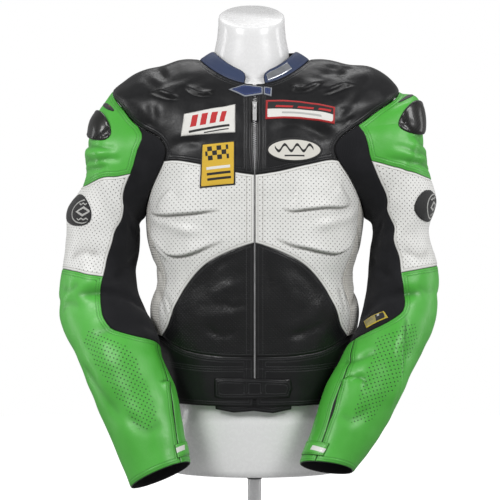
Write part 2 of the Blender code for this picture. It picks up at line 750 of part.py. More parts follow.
def body_pattern():
    pattern = Pattern(body_point)
    spread = 2 * math.pi * BODY_ROUND
    neck = [np.array([math.radians(turn) * BODY_ROUND, TOP_LEVEL]) for turn in neck_turns()]
    pattern.seam(neck, snap=False)
    hem_count = round(HEM_ROUND / EDGE_STEP)
    for level, is_seam in ((0.0, False), (HEM_LEVEL, True)):
        line = [np.array([spread * (i / hem_count - 0.5), level]) for i in range(hem_count + 1)]
        (pattern.seam if is_seam else pattern.guide)(line)
    levels = np.linspace(0, TOP_LEVEL, round(TOP_LEVEL / STEP))
    for edge in (-spread / 2, spread / 2):
        pattern.guide([np.array([edge, level]) for level in levels])
    for x in (-ZIP_HALF, ZIP_HALF):
        turn = math.copysign(NECK_MEETS[0], x)
        line = [np.array([math.radians(turn) * BODY_ROUND, TOP_LEVEL])]
        for z in np.linspace(ZIP_TOP, ZIP_END, ZIP_POINTS):
            line.append(front_flat(x, z))
        line.append(np.array([line[-1][0], HEM_LEVEL]))
        pattern.seam(line)
    for x in (-TAPE_HALF, -SEAM_GAP / 2, SEAM_GAP / 2, TAPE_HALF):
        pattern.guide([front_flat(x, z) for z in np.linspace(TAPE_TOP, ZIP_END, ZIP_POINTS)])
    for side in ("r", "l"):
        body_seams(pattern, side)
    pattern.join_ends()
    for name, outline in body_outlines().items():
        pattern.overlay(name, outline)
    pattern.scatter(ring_rows(TOP_LEVEL, body_round, spread), STEP * LINE_CLEAR)
    pattern.weave()
    return pattern


def body_seams(pattern, side):
    sign = side_sign(side)
    band = both(side, BAND_SEAM)
    low_turn, low_height = SIDE_BACK[-1]
    hole = [armhole_flat(side, angle) for angle in armhole_angles(side)]
    pattern.seam(hole, closed=True)
    pattern.seam(curve([armhole_flat(side, 112)] + both(side, YOKE_SEAM)))
    pattern.seam(curve(both(side, ARCH_SEAM)))
    pattern.seam(curve(band))
    pattern.seam(curve([band[-1]] + turned(side, BAND_TURN)))
    pattern.seam(curve(turned(side, LOWER_BACK)))
    pattern.seam(curve([armhole_flat(side, 262)] + turned(side, YOKE_BACK)))
    pattern.seam(curve([armhole_flat(side, 148)] + turned(side, SIDE_FRONT) + [band[-1]]))
    pattern.seam(curve([armhole_flat(side, 210)] + turned(side, SIDE_BACK)))
    hem = np.array([sign * math.radians(low_turn) * BODY_ROUND, HEM_LEVEL])
    pattern.seam(straight([body_flat(sign * low_turn, low_height), hem]))
    neck = np.array([sign * math.pi / 2 * BODY_ROUND, TOP_LEVEL])
    pattern.seam(straight([neck, armhole_flat(side, 0)]))


def oval(x, z, half_x, half_z, count=14):
    turns = [2 * math.pi * i / count for i in range(count)]
    return [front_flat(x + half_x * math.cos(t), z + half_z * math.sin(t)) for t in turns]


# What is sewn on the front, as corners (x, z), and the oval as its middle and half sizes.
SEWN_ON = {
    "patch_white": ((-0.113, 0.706), (-0.031, 0.722), (-0.031, 0.676), (-0.118, 0.670)),
    "patch_yellow": ((-0.085, 0.658), (-0.031, 0.663), (-0.031, 0.592), (-0.087, 0.587)),
    "patch_red_bar": (
        (0.019, 0.727), (0.075, 0.719), (0.128, 0.715),
        (0.127, 0.688), (0.075, 0.692), (0.017, 0.696),
    ),
    "neck_tab": ((-0.042, 0.746), (-0.018, 0.755), (0.013, 0.751), (0.013, 0.739), (-0.016, 0.734)),
    "neck_tab_end": ((0.0145, 0.7515), (0.028, 0.749), (0.027, 0.735), (0.0145, 0.7385)),
    "belt_strap": (
        (-0.064, 0.282), (-0.050, 0.284), (0.057, 0.281), (0.060, 0.266),
        (0.055, 0.251), (-0.050, 0.249), (-0.064, 0.252),
    ),
    "hem_flap": (
        (-0.066, 0.250), (0.062, 0.250), (0.060, 0.2315), (0.030, 0.2262),
        (-0.002, 0.2300), (-0.034, 0.2270), (-0.064, 0.2320),
    ),
}
OVAL = (0.063, 0.6475, 0.045, 0.020)


def body_outlines():
    outlines = {}
    for name, rows in SEWN_ON.items():
        outlines[name] = straight([front_flat(x, z) for x, z in rows], closed=True)
    outlines["patch_oval"] = oval(*OVAL)
    return outlines


# Sleeve seams as (angle round the sleeve, ring), ring 0 being the armhole.
SLEEVE_SEAMS = {
    "r": {
        "stretch_outer": (
            (56, 0), (66, 0.12), (84, 0.42), (104, 0.66), (117, 1.15), (117, 3.2), (108, 5.15),
            (105, 6.3), (100, 6.9), (94, 7.55), (89, 8.2), (86, 8.75), (90, 9.1), (102, 9.3),
            (126, 9.5), (164, 9.55), (200, 9.5),
        ),
        "cap_end": (
            (104, 0.66), (98, 0.95), (80, 1.9), (56, 2.6), (26, 3.05), (-20, 3.05), (-60, 2.8), (-98, 2.2),
        ),
        "white_end": ((103, 6.6), (84, 6.5), (60, 6.25), (18, 5.95), (-80, 5.95), (-150, 6.1)),
        "cuff_zip": ((166, 9.53), (163, 10.2), (154, 10.95), (150, 11.85), (139, 13)),
    },
    "l": {
        "stretch_outer": (
            (56, 0), (64, 0.18), (78, 0.35), (96, 0.5), (114, 0.72), (123, 1.2), (121, 2.7),
            (112, 4.15), (102, 5.6), (98, 6.75), (92, 7.4), (86, 8.0), (85, 8.4), (93, 8.68),
            (110, 9.0), (154, 9.35), (200, 9.35),
        ),
        "cap_end": (
            (96, 0.5), (93, 0.85), (85, 1.35), (70, 2.05), (42, 2.7), (10, 3.0), (-60, 2.8), (-98, 2.2),
        ),
        "white_end": ((98, 6.55), (78, 6.45), (56, 6.3), (10, 6.05), (-80, 5.95), (-150, 6.1)),
        "cuff_zip": ((158, 9.35), (146, 9.9), (133, 10.6), (130, 11.45), (128, 12.1), (121, 13)),
    },
}
UNDERARM_ANGLE = -150
BACK_ANGLE = -8
BACK_CAP_END = (-98, 0)
CUFF_END = 13
CUFF_ZIP_HALF = 0.0022

# Ovals that lie on a sleeve: their middle and the ways to their inner and lower ends, each as angle and
# ring, and how many points they have.
Oval = namedtuple("Oval", "middle inward down points")
OVALS = {
    "r": {
        "cap_cup": Oval((31, 0.92), (19, -0.32), (22, 0.15), 12),
        "cap_label": Oval((19, 0.37), (11, -0.12), (4, 0.06), 6),
        "emblem": Oval((41, 3.95), (30, -0.22), (14, 0.52), 12),
    },
    "l": {
        "cap_cup": Oval((33, 0.86), (17, -0.30), (17, 0.15), 12),
        "cap_label": Oval((14, 0.30), (8, -0.12), (4, 0.06), 6),
        "emblem": Oval((44, 4.08), (32, -0.28), (-4, 0.60), 12),
    },
}
CUFF_TABS = {
    "r": ((134, 12.62), (176, 12.55), (176, 12.85), (134, 12.90)),
    "l": ((108, 12.60), (172, 12.55), (172, 12.85), (108, 12.88)),
}
YELLOW_LABEL = ((150, 8.65), (114, 8.45), (104, 8.72), (136, 9.05))


def sleeve_round(along):
    return UPPER_ARM_ROUND if along < UPPER_ARM_LONG else FOREARM_ROUND


def sleeve_pattern(side):
    sleeve = Sleeve(side)
    pattern = Pattern(sleeve.point, flipped=side_sign(side) < 0)
    spread = 2 * math.pi * SLEEVE_ROUND
    angles = sorted(angle - 360 if angle > 180 else angle for angle in armhole_angles(side))
    top = [sleeve.flat(angle, 0) for angle in angles]
    if angles[0] > -180:
        top.insert(0, sleeve.flat(-180, 0))
    if angles[-1] < 180:
        top.append(sleeve.flat(180, 0))
    pattern.guide(top)
    cuff_count = round(CUFF_ROUND / EDGE_STEP)
    end = [np.array([spread * (i / cuff_count - 0.5), sleeve.long]) for i in range(cuff_count + 1)]
    pattern.guide(end)
    lining_at = sleeve.long - CUFF_LINING
    pattern.guide([np.array([point[0], lining_at]) for point in end])
    levels = np.linspace(0, sleeve.long, round(sleeve.long / STEP))
    for edge in (-spread / 2, spread / 2):
        pattern.guide([np.array([edge, level]) for level in levels])
    sleeve_seams(pattern, sleeve, spread / 2)
    for name, outline in sleeve_outlines(side, sleeve).items():
        pattern.overlay(name, outline)
    pattern.scatter(ring_rows(sleeve.long, sleeve_round, spread), STEP * LINE_CLEAR)
    pattern.weave()
    return sleeve, pattern


def sleeve_seams(pattern, sleeve, edge):
    def line(rows):
        return [sleeve.flat(angle, ring) for angle, ring in rows]

    seams = SLEEVE_SEAMS[sleeve.side]
    stretch = curve(line(seams["stretch_outer"]))
    lowest = stretch[-1][1]
    wrapped = [p for p in stretch if p[0] <= edge]
    pattern.seam(wrapped + [np.array([edge, lowest])], snap=False)
    under = straight(line(((UNDERARM_ANGLE, 0), (UNDERARM_ANGLE, CUFF_END))))
    pattern.seam(under)
    pattern.seam([np.array([-edge, lowest]), np.array([under[0][0], lowest])])
    pattern.seam(curve(line(seams["cap_end"] + (BACK_CAP_END,))))
    pattern.seam(curve(line(seams["white_end"])))
    pattern.seam(straight(line(((BACK_ANGLE, 6.0), (BACK_ANGLE, CUFF_END)))))
    for way in (-1, 1):
        shifted = [point + [way * CUFF_ZIP_HALF, 0] for point in line(seams["cuff_zip"])]
        pattern.seam(curve(shifted))
    pattern.join_ends(0.009)


def sleeve_outlines(side, sleeve):
    """Outlines of what lies on a sleeve."""
    outlines = {}
    for name, oval_row in OVALS[side].items():
        middle = sleeve.flat(*oval_row.middle)
        inward = sleeve.flat(*np.add(oval_row.middle, oval_row.inward)) - middle
        down = sleeve.flat(*np.add(oval_row.middle, oval_row.down)) - middle
        turns = [2 * math.pi * i / oval_row.points for i in range(oval_row.points)]
        outlines[name] = [middle + math.cos(t) * inward + math.sin(t) * down for t in turns]
    outlines["cuff_tab"] = straight([sleeve.flat(*corner) for corner in CUFF_TABS[side]], closed=True)
    if side == "l":
        outlines["label_yellow"] = straight([sleeve.flat(*corner) for corner in YELLOW_LABEL], closed=True)
    return outlines


def collar_pattern():
    """The stand-up band: the neckline's points below, a narrower and higher curve above."""
    half = NECK_MEETS[2]
    turns = [turn if turn > 0 else turn + 360 for turn in neck_turns() if abs(turn) >= half - 1e-9]
    turns = sorted(set(round(turn, 9) for turn in turns))

    def to_space(flat):
        turn = np.degrees(flat[:, 0] / BODY_ROUND)
        turn = np.where(turn > 180, turn - 360, turn)
        foot = body_point(np.stack([np.radians(turn) * BODY_ROUND, np.full(len(turn), TOP_LEVEL)], axis=1))
        angle = np.radians(turn)
        ahead = np.cos(angle) > 0
        depth = np.where(ahead, 0.066, 0.064)
        height = 0.818 + np.where(ahead, -0.040, 0.006) * np.cos(angle) ** 2
        head = np.stack([0.0688 * np.sin(angle), 0.004 - depth * np.cos(angle), height], axis=1)
        rise = (flat[:, 1] / COLLAR_RISE)[:, None]
        stand = np.sin(rise * math.pi / 2) * 0.25 + rise * 0.75
        lifted = foot * (1 - rise) + head * rise
        lifted[:, 2:] = foot[:, 2:] + (head - foot)[:, 2:] * stand
        return lifted

    pattern = Pattern(to_space)
    ends = [math.radians(turns[0]) * BODY_ROUND, math.radians(turns[-1]) * BODY_ROUND]
    for rise in (0, COLLAR_RISE / 2, COLLAR_RISE):
        pattern.guide([np.array([math.radians(turn) * BODY_ROUND, rise]) for turn in turns])
    for end in ends:
        pattern.guide([np.array([end, rise]) for rise in (0, COLLAR_RISE / 2, COLLAR_RISE)])
    plate = [math.radians(turn) * BODY_ROUND for turn in (14, 45)]
    corners = ((plate[0], 0.004), (plate[1], 0.006), (plate[1], 0.021), (plate[0], 0.020))
    pattern.overlay("collar_plate", straight(corners, closed=True))
    pattern.weave()
    return pattern


# The pieces cut from the body: a place on each as (turn, height), and their leather.
BODY_PANELS = {
    "yoke_front": ((30, 0.660), "black_leather", True),
    "front": ((25, 0.560), "white_leather", True),
    "arch": ((15, 0.400), "black_leather", True),
    "side": ((90, 0.450), "white_leather", True),
    "waistband": ((45, 0.300), "black_leather", True),
    "waistband_back": ((175, 0.280), "black_leather", False),
    "back_lower": ((170, 0.380), "black_leather", False),
    "back_middle": ((170, 0.560), "white_leather", False),
    "yoke_back": ((170, 0.700), "black_leather", False),
}
SLEEVE_PANELS = {
    "cap": ((20, 1.6), "green_leather"),
    "upper_sleeve": ((20, 5.0), "white_leather"),
    "stretch_panel": ((130, 4.0), "black_textile"),
    "forearm_front": ((70, 10.0), "green_leather"),
    "forearm_inner": ((175, 11), "green_leather"),
    "forearm_back": ((-70, 9.0), "black_leather"),
}
ON_BODY = {
    "patch_white": "cream_fabric",
    "patch_yellow": "yellow_fabric",
    "patch_red_bar": "red_fabric",
    "patch_oval": "cream_fabric",
    "neck_tab": "blue_leather",
    "neck_tab_end": "blue_leather",
    "belt_strap": "black_leather",
}
ON_SLEEVE = {
    "cap_label": ("black_textile", 0.0010),
    "emblem": ("black_textile", 0.0014),
    "cuff_tab": ("green_leather", 0.0020),
    "label_yellow": ("yellow_fabric", 0.0010),
}


def cut_body(cloth, pattern):
    for name, ((turn, height), material, paired) in BODY_PANELS.items():
        if paired:
            for side in ("r", "l"):
                faces = pattern.panel([body_flat(side_sign(side) * turn, height)])
                cloth.solid(f"{name}_{side}", [("body", n) for n in faces], 0, -LEATHER, material)
        else:
            seeds = [body_flat(sign * turn, height) for sign in (-1, 1)]
            faces = pattern.panel(seeds)
            cloth.solid(name, [("body", n) for n in faces], 0, -LEATHER, material)


def cut_zip(cloth, pattern):
    chain = pattern.panel([front_flat(0, 0.5)])
    cloth.solid("zip_chain", [("body", n) for n in chain], -0.0002, -LEATHER + 0.0002, "metal")
    behind = -LEATHER - SEAM_GAP
    heights = np.linspace(TAPE_TOP, ZIP_END, ZIP_POINTS)
    for side in ("r", "l"):
        sign = side_sign(side)
        edge = [front_flat(sign * TAPE_HALF, z) for z in heights]
        middle = [front_flat(sign * SEAM_GAP / 2, z) for z in heights[::-1]]
        tape = [("body", n) for n in pattern.under(edge + middle)]
        cloth.solid(f"zip_tape_{side}", tape, behind, behind - TAPE_THICK, "black_textile", 0)


def cut_overlays(cloth, key, pattern, names, side=""):
    for name, (material, thick) in names.items():
        if name in pattern.outlines:
            faces = pattern.under(pattern.outlines[name])
            keys = [(key, n) for n in faces]
            full = name if name == "label_yellow" or not side else f"{name}_{side}"
            cloth.solid(full, keys, SEAM_GAP + thick, SEAM_GAP, material, 0)


def cut_sleeve(cloth, side, sleeve, pattern):
    key = f"sleeve_{side}"
    for name, ((angle, ring), material) in SLEEVE_PANELS.items():
        seeds = [sleeve.flat(angle, ring)]
        if name == "stretch_panel":
            seeds.append(sleeve.flat(-165, 4.0))
        if name == "forearm_inner":
            seeds.append(sleeve.flat(-165, 11))
        faces = pattern.panel(seeds)
        cloth.solid(f"{name}_{side}", [(key, n) for n in faces], 0, -LEATHER, material)
    faces = pattern.panel([sleeve.flat(*SLEEVE_SEAMS[side]["cuff_zip"][2])])
    cloth.solid(f"cuff_zip_{side}", [(key, n) for n in faces], -0.0003, -LEATHER, "black_textile")
    ring = [(key, n) for n, middle in enumerate(pattern.middles) if middle[1] > sleeve.long - CUFF_LINING]
    behind = -LEATHER - SEAM_GAP
    cloth.solid(f"cuff_lining_{side}", ring, behind, behind - TAPE_THICK, "black_textile", 0)
    cut_overlays(cloth, key, pattern, ON_SLEEVE, side)
    faces = pattern.under(pattern.outlines["cap_cup"])
    middle = sleeve.point(np.array([np.mean(pattern.outlines["cap_cup"], axis=0)]))[0]

    def dome(points):
        away = np.linalg.norm(points - middle, axis=1) / 0.027
        return SEAM_GAP + 0.0025 + 0.0050 * np.clip(1 - away**2, 0, 1)

    cloth.solid(f"cap_cup_{side}", [(key, n) for n in faces], dome, SEAM_GAP, "hard_black", 0)


def dress_form(cloth, pattern):
    """The form under the jacket: the body's own points moved in, a neck above and hips below."""
    keys = [key for key in cloth.faces if key[0] == "body"]
    normals, _ = cloth.normals_of(keys)
    used = sorted({i for key in keys for i in cloth.faces[key]})
    place = {i: n for n, i in enumerate(used)}
    points = cloth.points[used]
    height = points[:, 2]
    outward = np.abs(points[:, 0])
    shoulder = np.clip((height - 0.74) / 0.03, 0, 1) * np.clip((0.205 - outward) / 0.03, 0, 1)
    waist = np.clip((0.6 - height) / 0.3, 0, 1)
    under = FORM_UNDER + LEATHER + (1 - shoulder) * (FORM_EASE + WAIST_EASE * waist)
    ways = normals[used]
    edge = pattern.space[pattern.flat_points[:, 1] > TOP_LEVEL - 1e-6]
    neckline = [place[cloth.index[tuple(np.round(point, 6))]] for point in edge]
    ways[neckline] = (cloth.normals * cloth.stretch[:, None])[used][neckline]
    under[neckline] = COLLAR_WALL + FORM_UNDER
    form = (points - ways * under[:, None]).tolist()
    faces = [tuple(place[i] for i in cloth.faces[key]) for key in keys]
    hem, neck = sorted(open_loops(faces), key=lambda loop: form[loop[0]][2])
    stack_rings(form, faces, hem, HIP_RINGS)
    stack_rings(form, faces, neck, NECK_RINGS)
    return mesh_object("dress_form", form, faces, "white_gloss")


def open_loops(faces):
    """The open edges of a surface, as closed loops of points."""
    sides = {(face[i], face[(i + 1) % 3]) for face in faces for i in range(3)}
    rim = {a: b for a, b in sides if (b, a) not in sides}
    loops = []
    while rim:
        start, following = rim.popitem()
        loop = [start]
        while following != start:
            loop.append(following)
            following = rim.pop(following)
        loops.append(loop)
    return loops


def stack_rings(points, faces, loop, rings):
    """Rings that go on from an open loop, with the last one closed flat."""
    turns = [math.atan2(points[i][0], -points[i][1]) for i in loop]
    count = len(loop)
    for ring in rings:
        first = len(points)
        for turn in turns:
            side, front = math.sin(turn), math.cos(turn)
            points.append([ring.x + ring.half * side, ring.y - ring.deep * front, ring.z - ring.tilt * front])
        for i in range(count):
            k = (i + 1) % count
            faces.append((loop[k], loop[i], first + i, first + k))
        loop = list(range(first, first + count))
    faces.append(tuple(reversed(loop)))


def round_solid(name, radius, low, high, material, bevel=0.0, segments=48):
    """An upright cylinder with its upper edge rounded off."""
    middle = (0, 0, (low + high) / 2)
    bpy.ops.mesh.primitive_cylinder_add(vertices=segments, radius=radius, depth=high - low, location=middle)
    made = bpy.context.object
    made.name = name
    made.data.transform(made.matrix_basis)
    made.matrix_basis.identity()
    made.data.materials.append(material_named(material).copy())
    if bevel:
        rounded = made.modifiers.new("rounded", "BEVEL")
        rounded.width = bevel
        rounded.segments = 2
        rounded.limit_method = "ANGLE"
    return made


def stand():
    top = FORM_BOTTOM - SEAM_GAP
    foot = top - SOCKET_TALL
    round_solid("stand_socket", SOCKET_RADIUS, foot, top, "hard_black", 0.001, 32)
    round_solid("stand_pole", POLE_RADIUS, BASE_THICK + SEAM_GAP, foot - SEAM_GAP, "white_gloss", 0, 32)
    round_solid("stand_base", BASE_RADIUS, 0, BASE_THICK, "white_gloss", 0.002, 64)


def zip_frame():
    """The middle of the slider's place on the front, with the ways across, down and out."""
    flat = np.array([front_flat(0, SLIDER_Z), front_flat(0, SLIDER_Z - 0.01)])
    here, below = body_point(flat)
    down = (below - here) / np.linalg.norm(below - here)
    across = np.array([1.0, 0, 0])
    return here, across, down, np.cross(down, across)


def lay_box(name, middle, axes, sizes, material, bevel):
    """A box with rounded edges, along three given ways."""
    along, across, out = [axis * size / 2 for axis, size in zip(axes, sizes)]
    signs = [(i, k, m) for i in (-1, 1) for k in (-1, 1) for m in (-1, 1)]
    points = [(middle + along * i + across * k + out * m).tolist() for i, k, m in signs]
    faces = [(0, 1, 3, 2), (4, 6, 7, 5), (0, 4, 5, 1), (2, 3, 7, 6), (0, 2, 6, 4), (1, 5, 7, 3)]
    made = mesh_object(name, points, faces, material)
    rounded = made.modifiers.new("rounded", "BEVEL")
    rounded.width = bevel
    rounded.segments = 2
    return made


def zip_parts():
    """The slider on the teeth, and the pull tab that hangs from its bridge."""
    here, across, down, out = zip_frame()
    axes = (down, across, out)
    wide, tall, thick = SLIDER_SIZE
    middle = here + out * (SEAM_GAP + thick / 2)
    lay_box("zip_slider", middle, axes, (tall, wide, thick), "metal", 0.0006)
    pivot = middle + out * (thick / 2 + SEAM_GAP + PULL_THICK / 2) + down * tall * 0.2
    hang = pivot + down * (PULL_LONG - PULL_THICK) / 2
    pull = lay_box("zip_pull", hang, axes, (PULL_LONG, PULL_WIDE, PULL_THICK), "metal", 0.0004)
    pull.data.transform(Matrix.Translation(Vector(-pivot)))
    pull.location = pivot


def main():
    for old in list(bpy.data.objects):
        bpy.data.objects.remove(old)
    body = body_pattern()
    sleeves = {side: sleeve_pattern(side) for side in ("r", "l")}
    collar = collar_pattern()
    plugs = [n for sign in (-1, 1) for n in body.panel([body_flat(sign * 88, 0.650)])]
    cloth = Cloth()
    cloth.add("body", body, skip=plugs)
    for side, (sleeve, pattern) in sleeves.items():
        cloth.add(f"sleeve_{side}", pattern)
    cloth.add("collar", collar)
    cloth.settle()
    cut_body(cloth, body)
    cut_zip(cloth, body)
    cut_overlays(cloth, "body", body, {name: (material, STRAP) for name, material in ON_BODY.items()})
    flap = [("body", n) for n in body.under(body.outlines["hem_flap"])]
    behind = -LEATHER - SEAM_GAP
    cloth.solid("hem_flap", flap, behind, behind - STRAP, "black_leather", 0)
    for side, (sleeve, pattern) in sleeves.items():
        cut_sleeve(cloth, side, sleeve, pattern)
    cloth.solid("collar", [("collar", n) for n in range(len(collar.faces))], 0, -COLLAR_WALL, "blue_leather")
    plate = [("collar", n) for n in collar.under(collar.outlines["collar_plate"])]
    cloth.solid("collar_plate", plate, SEAM_GAP + 0.0015, SEAM_GAP, "metal", 0)
    dress_form(cloth, body)
    stand()
    zip_parts()


main()
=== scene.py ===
# Motorcycle jacket on a dress form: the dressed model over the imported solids. Metres, +Z up, the front faces -Y.
# The cloth is one smooth surface (body, two sleeves, collar), cut along its seams into thin shells.

import math
from functools import lru_cache

import bpy
import numpy as np
from numpy.linalg import norm
from mathutils import Matrix, Vector, kdtree
from mathutils.geometry import delaunay_2d_cdt


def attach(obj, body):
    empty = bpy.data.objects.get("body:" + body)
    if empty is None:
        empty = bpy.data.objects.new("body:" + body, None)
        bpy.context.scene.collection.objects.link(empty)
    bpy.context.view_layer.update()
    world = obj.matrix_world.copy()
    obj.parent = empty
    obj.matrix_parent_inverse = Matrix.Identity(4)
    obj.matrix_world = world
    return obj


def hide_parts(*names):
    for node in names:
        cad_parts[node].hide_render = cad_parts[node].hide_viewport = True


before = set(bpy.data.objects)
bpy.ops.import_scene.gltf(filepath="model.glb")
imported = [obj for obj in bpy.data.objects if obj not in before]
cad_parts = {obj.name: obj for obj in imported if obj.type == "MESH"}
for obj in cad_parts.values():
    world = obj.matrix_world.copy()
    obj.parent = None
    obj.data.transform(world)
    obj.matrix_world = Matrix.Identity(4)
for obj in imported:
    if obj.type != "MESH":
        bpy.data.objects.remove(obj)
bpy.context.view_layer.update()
print("frame loaded:", len(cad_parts), "nodes")

camera = {"place": (-0.0075, -3.0, 0.488), "lens": 130.1, "sensor": 36}


def show(name, data):
    piece = bpy.data.objects.new(name, data)
    bpy.context.scene.collection.objects.link(piece)
    return piece


def addCamera():
    data = bpy.data.cameras.new("camera")
    data.lens, data.sensor_width = camera["lens"], camera["sensor"]
    seen = show("camera", data)
    seen.location, seen.rotation_euler = camera["place"], (math.pi / 2, 0, 0)
    bpy.context.scene.camera = seen


addCamera()

cloth = {
    "wall": 0.0014,       # thickness of a panel
    "step": 0.017,        # spacing of the points inside a panel, before they are refined
    "edgeStep": 0.009,    # the same along a seam
    "seamRow": 0.003,     # how far from a seam its first row of points lies
    "roll": 0.0010,       # how far a panel turns in at its seam
    "rollWide": 0.0018,
    "bodyRound": 0.16,    # metres of pattern for one radian round the body, and round a sleeve
    "sleeveRound": 0.065,
}

# Rings of the body from the hem up: heights at the front, the side and the back, half the width, the
# depths in front of the axis and behind it, how much fuller than an ellipse, lean of the two sides.
# They are in thousandths, as are those of the sleeves.
bodyRings = np.array((
    (223, 224, 224, 146, 109, 104, 0, 0),
    (237, 239, 239, 147, 110, 104, 0, 0),
    (300, 301, 301, 154, 112, 103, 0, 0),
    (345, 346, 346, 167, 115, 102, 10, 0),
    (388, 389, 389, 173, 117, 101, 20, 0),
    (440, 440, 440, 162, 117, 100, 30, 0),
    (500, 500, 500, 176, 120, 106, 40, 0),
    (550, 552, 552, 181, 122, 112, 50, 0),
    (600, 612, 608, 189, 121, 118, 50, 0),
    (645, 672, 662, 206, 116, 120, 50, 0),
    (680, 722, 708, 229, 108, 115, 50, 0),
    (697, 750, 735, 237, 103, 108, 40, 2),
    (708, 771, 752, 216, 99, 103, 30, 8),
    (719, 784, 766, 188, 95, 98, 20, 10),
    (732, 792, 780, 155, 90, 93, 10, 7),
    (744, 799, 789, 120, 84, 88, 0, 3),
    (757, 801, 797, 91, 76, 82, 0, 0),
)) / 1000

# The armhole: angle round the sleeve (0 the top, 90 the front), degrees from the centre front on the
# right and on the left, and height.
armholeRows = (
    (0, 90, 90, 0.751),
    (30, 66, 60, 0.722),
    (55, 55, 46, 0.691),
    (80, 43.5, 38, 0.668),
    (95, 42, 37, 0.651),
    (112, 45, 41, 0.631),
    (135, 57, 55, 0.595),
    (155, 72, 71, 0.561),
    (180, 90, 90, 0.542),
    (210, 112, 112, 0.566),
    (240, 124, 124, 0.612),
    (270, 125, 125, 0.664),
    (305, 116, 116, 0.712),
    (332, 104, 104, 0.740),
)

# Rings of each sleeve: its outermost and innermost point from the front (distance out, height), how
# far its middle lies behind the axis, and its depth.
sleeveRings = {
    "r": (
        (266, 702, 191, 530, 0, 165),
        (277.5, 660, 190, 522, 0, 160),
        (283, 600, 190, 514, 0, 153),
        (309, 556, 190, 505, 0, 149),
        (312, 507, 191, 487, -1, 146),
        (319, 450, 196, 452, -6, 144),
        (323, 402, 189, 412, -20, 142),
        (315, 362, 173, 380, -36, 134),
        (294, 324, 158, 352, -61, 124),
        (272, 279, 148, 315, -86, 116),
        (251, 233, 128, 270, -106, 110),
        (228, 187, 117, 223, -126, 102),
        (195, 112, 101, 153, -148, 92),
    ),
    "l": (
        (276, 708, 195, 530, 0, 165),
        (280, 664, 196, 522, 0, 160),
        (293, 604, 196, 514, 0, 152),
        (300, 572, 195, 505, 0, 148),
        (289, 522, 192, 488, -1, 144),
        (303, 463, 189, 457, -5, 142),
        (303, 410, 184, 415, -18, 140),
        (296, 370, 174, 380, -36, 132),
        (274, 325, 160, 347, -62, 122),
        (248, 279, 138, 312, -86, 112),
        (226, 236, 112, 268, -106, 106),
        (200, 193, 97, 222, -124, 98),
        (156, 137, 71, 151, -146, 88),
    ),
}
sleeveRings = {side: np.array(rows) / 1000 for side, rows in sleeveRings.items()}


def sideSign(side):
    return -1 if side == "r" else 1


def glide(knots, values, at):  # a smooth curve through the values, read at the given places
    knots = np.asarray(knots, float)
    values = np.asarray(values, float)
    at = np.atleast_1d(np.asarray(at, float))
    slopes = np.gradient(values, knots, axis=0)
    i = np.clip(np.searchsorted(knots, at, side="right") - 1, 0, len(knots) - 2)
    span = knots[i + 1] - knots[i]
    t = (at - knots[i]) / span
    if values.ndim == 3:
        pick = np.arange(len(at))
        start, end, out, into = values[i, pick], values[i + 1, pick], slopes[i, pick], slopes[i + 1, pick]
    else:
        start, end, out, into = values[i], values[i + 1], slopes[i], slopes[i + 1]
    t, span = t[:, None], span[:, None]
    bend = (2 * t**3 - 3 * t**2 + 1) * start + (3 * t**2 - 2 * t**3) * end
    return bend + span * ((t**3 - 2 * t**2 + t) * out + (t**3 - t**2) * into)


def ringLevels():
    lengths = [0.0]
    for low, high in zip(bodyRings, bodyRings[1:]):
        front = math.hypot(high[0] - low[0], high[4] - low[4])
        side = math.hypot(high[1] - low[1], high[3] - low[3])
        back = math.hypot(high[2] - low[2], high[5] - low[5])
        lengths.append(lengths[-1] + (front + 2 * side + back) / 4)
    return np.array(lengths)


levels = ringLevels()
hemLevel, topLevel = levels[1], levels[-1]


def bodyBase(turn, level):
    front, side, back, half, ahead, behind, full, lean = glide(levels, bodyRings, level).T
    angle = np.radians(turn)
    sine, cosine = np.sin(angle), np.cos(angle)
    facing = cosine > 0
    height = side + (np.where(facing, front, back) - side) * cosine**2
    swell = 1 + full * np.sin(2 * angle) ** 2
    depth = np.where(facing, ahead, behind)
    return np.stack([half * sine * swell + lean * sine**2, -depth * cosine * swell, height], axis=1)


def levelAt(turn, height):
    turn = np.atleast_1d(np.asarray(turn, float))
    low, high = np.zeros(len(turn)), np.full(len(turn), topLevel)
    for _ in range(30):
        middle = (low + high) / 2
        under = bodyBase(turn, middle)[:, 2] < height
        low, high = np.where(under, middle, low), np.where(under, high, middle)
    return (low + high) / 2


def arc(turn, level):  # pattern place of degrees from the centre front and a level
    return np.array([math.radians(turn) * cloth["bodyRound"], level])


@lru_cache(maxsize=None)
def bodyFlat(turn, height):
    return arc(turn, levelAt(turn, height)[0])


@lru_cache(maxsize=None)
def frontFlat(x, z):  # pattern place of a point of the front seen at x and z
    turns = np.linspace(0, 89.5, 180) * (1 if x >= 0 else -1)
    across = np.abs(bodyBase(turns, levelAt(turns, z))[:, 0])
    upto = int(np.argmax(across)) + 1
    turn = np.interp(abs(x), across[:upto], turns[:upto])
    return arc(turn, levelAt(turn, z)[0])


def nearStretch(points, start, end):
    along = end - start
    t = np.clip(((points - start) @ along) / max(along @ along, 1e-18), 0, 1)
    return norm(points - start - t[:, None] * along, axis=1), t


def nearPath(points, path):  # distance to a path, a minus on its right, and the share of it passed
    best = np.full(len(points), 9.0)
    signed, share = np.zeros(len(points)), np.zeros(len(points))
    lengths = [norm(b - a) for a, b in zip(path, path[1:])]
    total, gone = sum(lengths), 0.0
    for (a, b), length in zip(zip(path, path[1:]), lengths):
        away, t = nearStretch(points, a, b)
        turn = (b[0] - a[0]) * (points[:, 1] - a[1]) - (b[1] - a[1]) * (points[:, 0] - a[0])
        closer = away < best
        best = np.where(closer, away, best)
        signed = np.where(closer, np.copysign(away, turn), signed)
        share = np.where(closer, (gone + t * length) / total, share)
        gone += length
    return signed, share


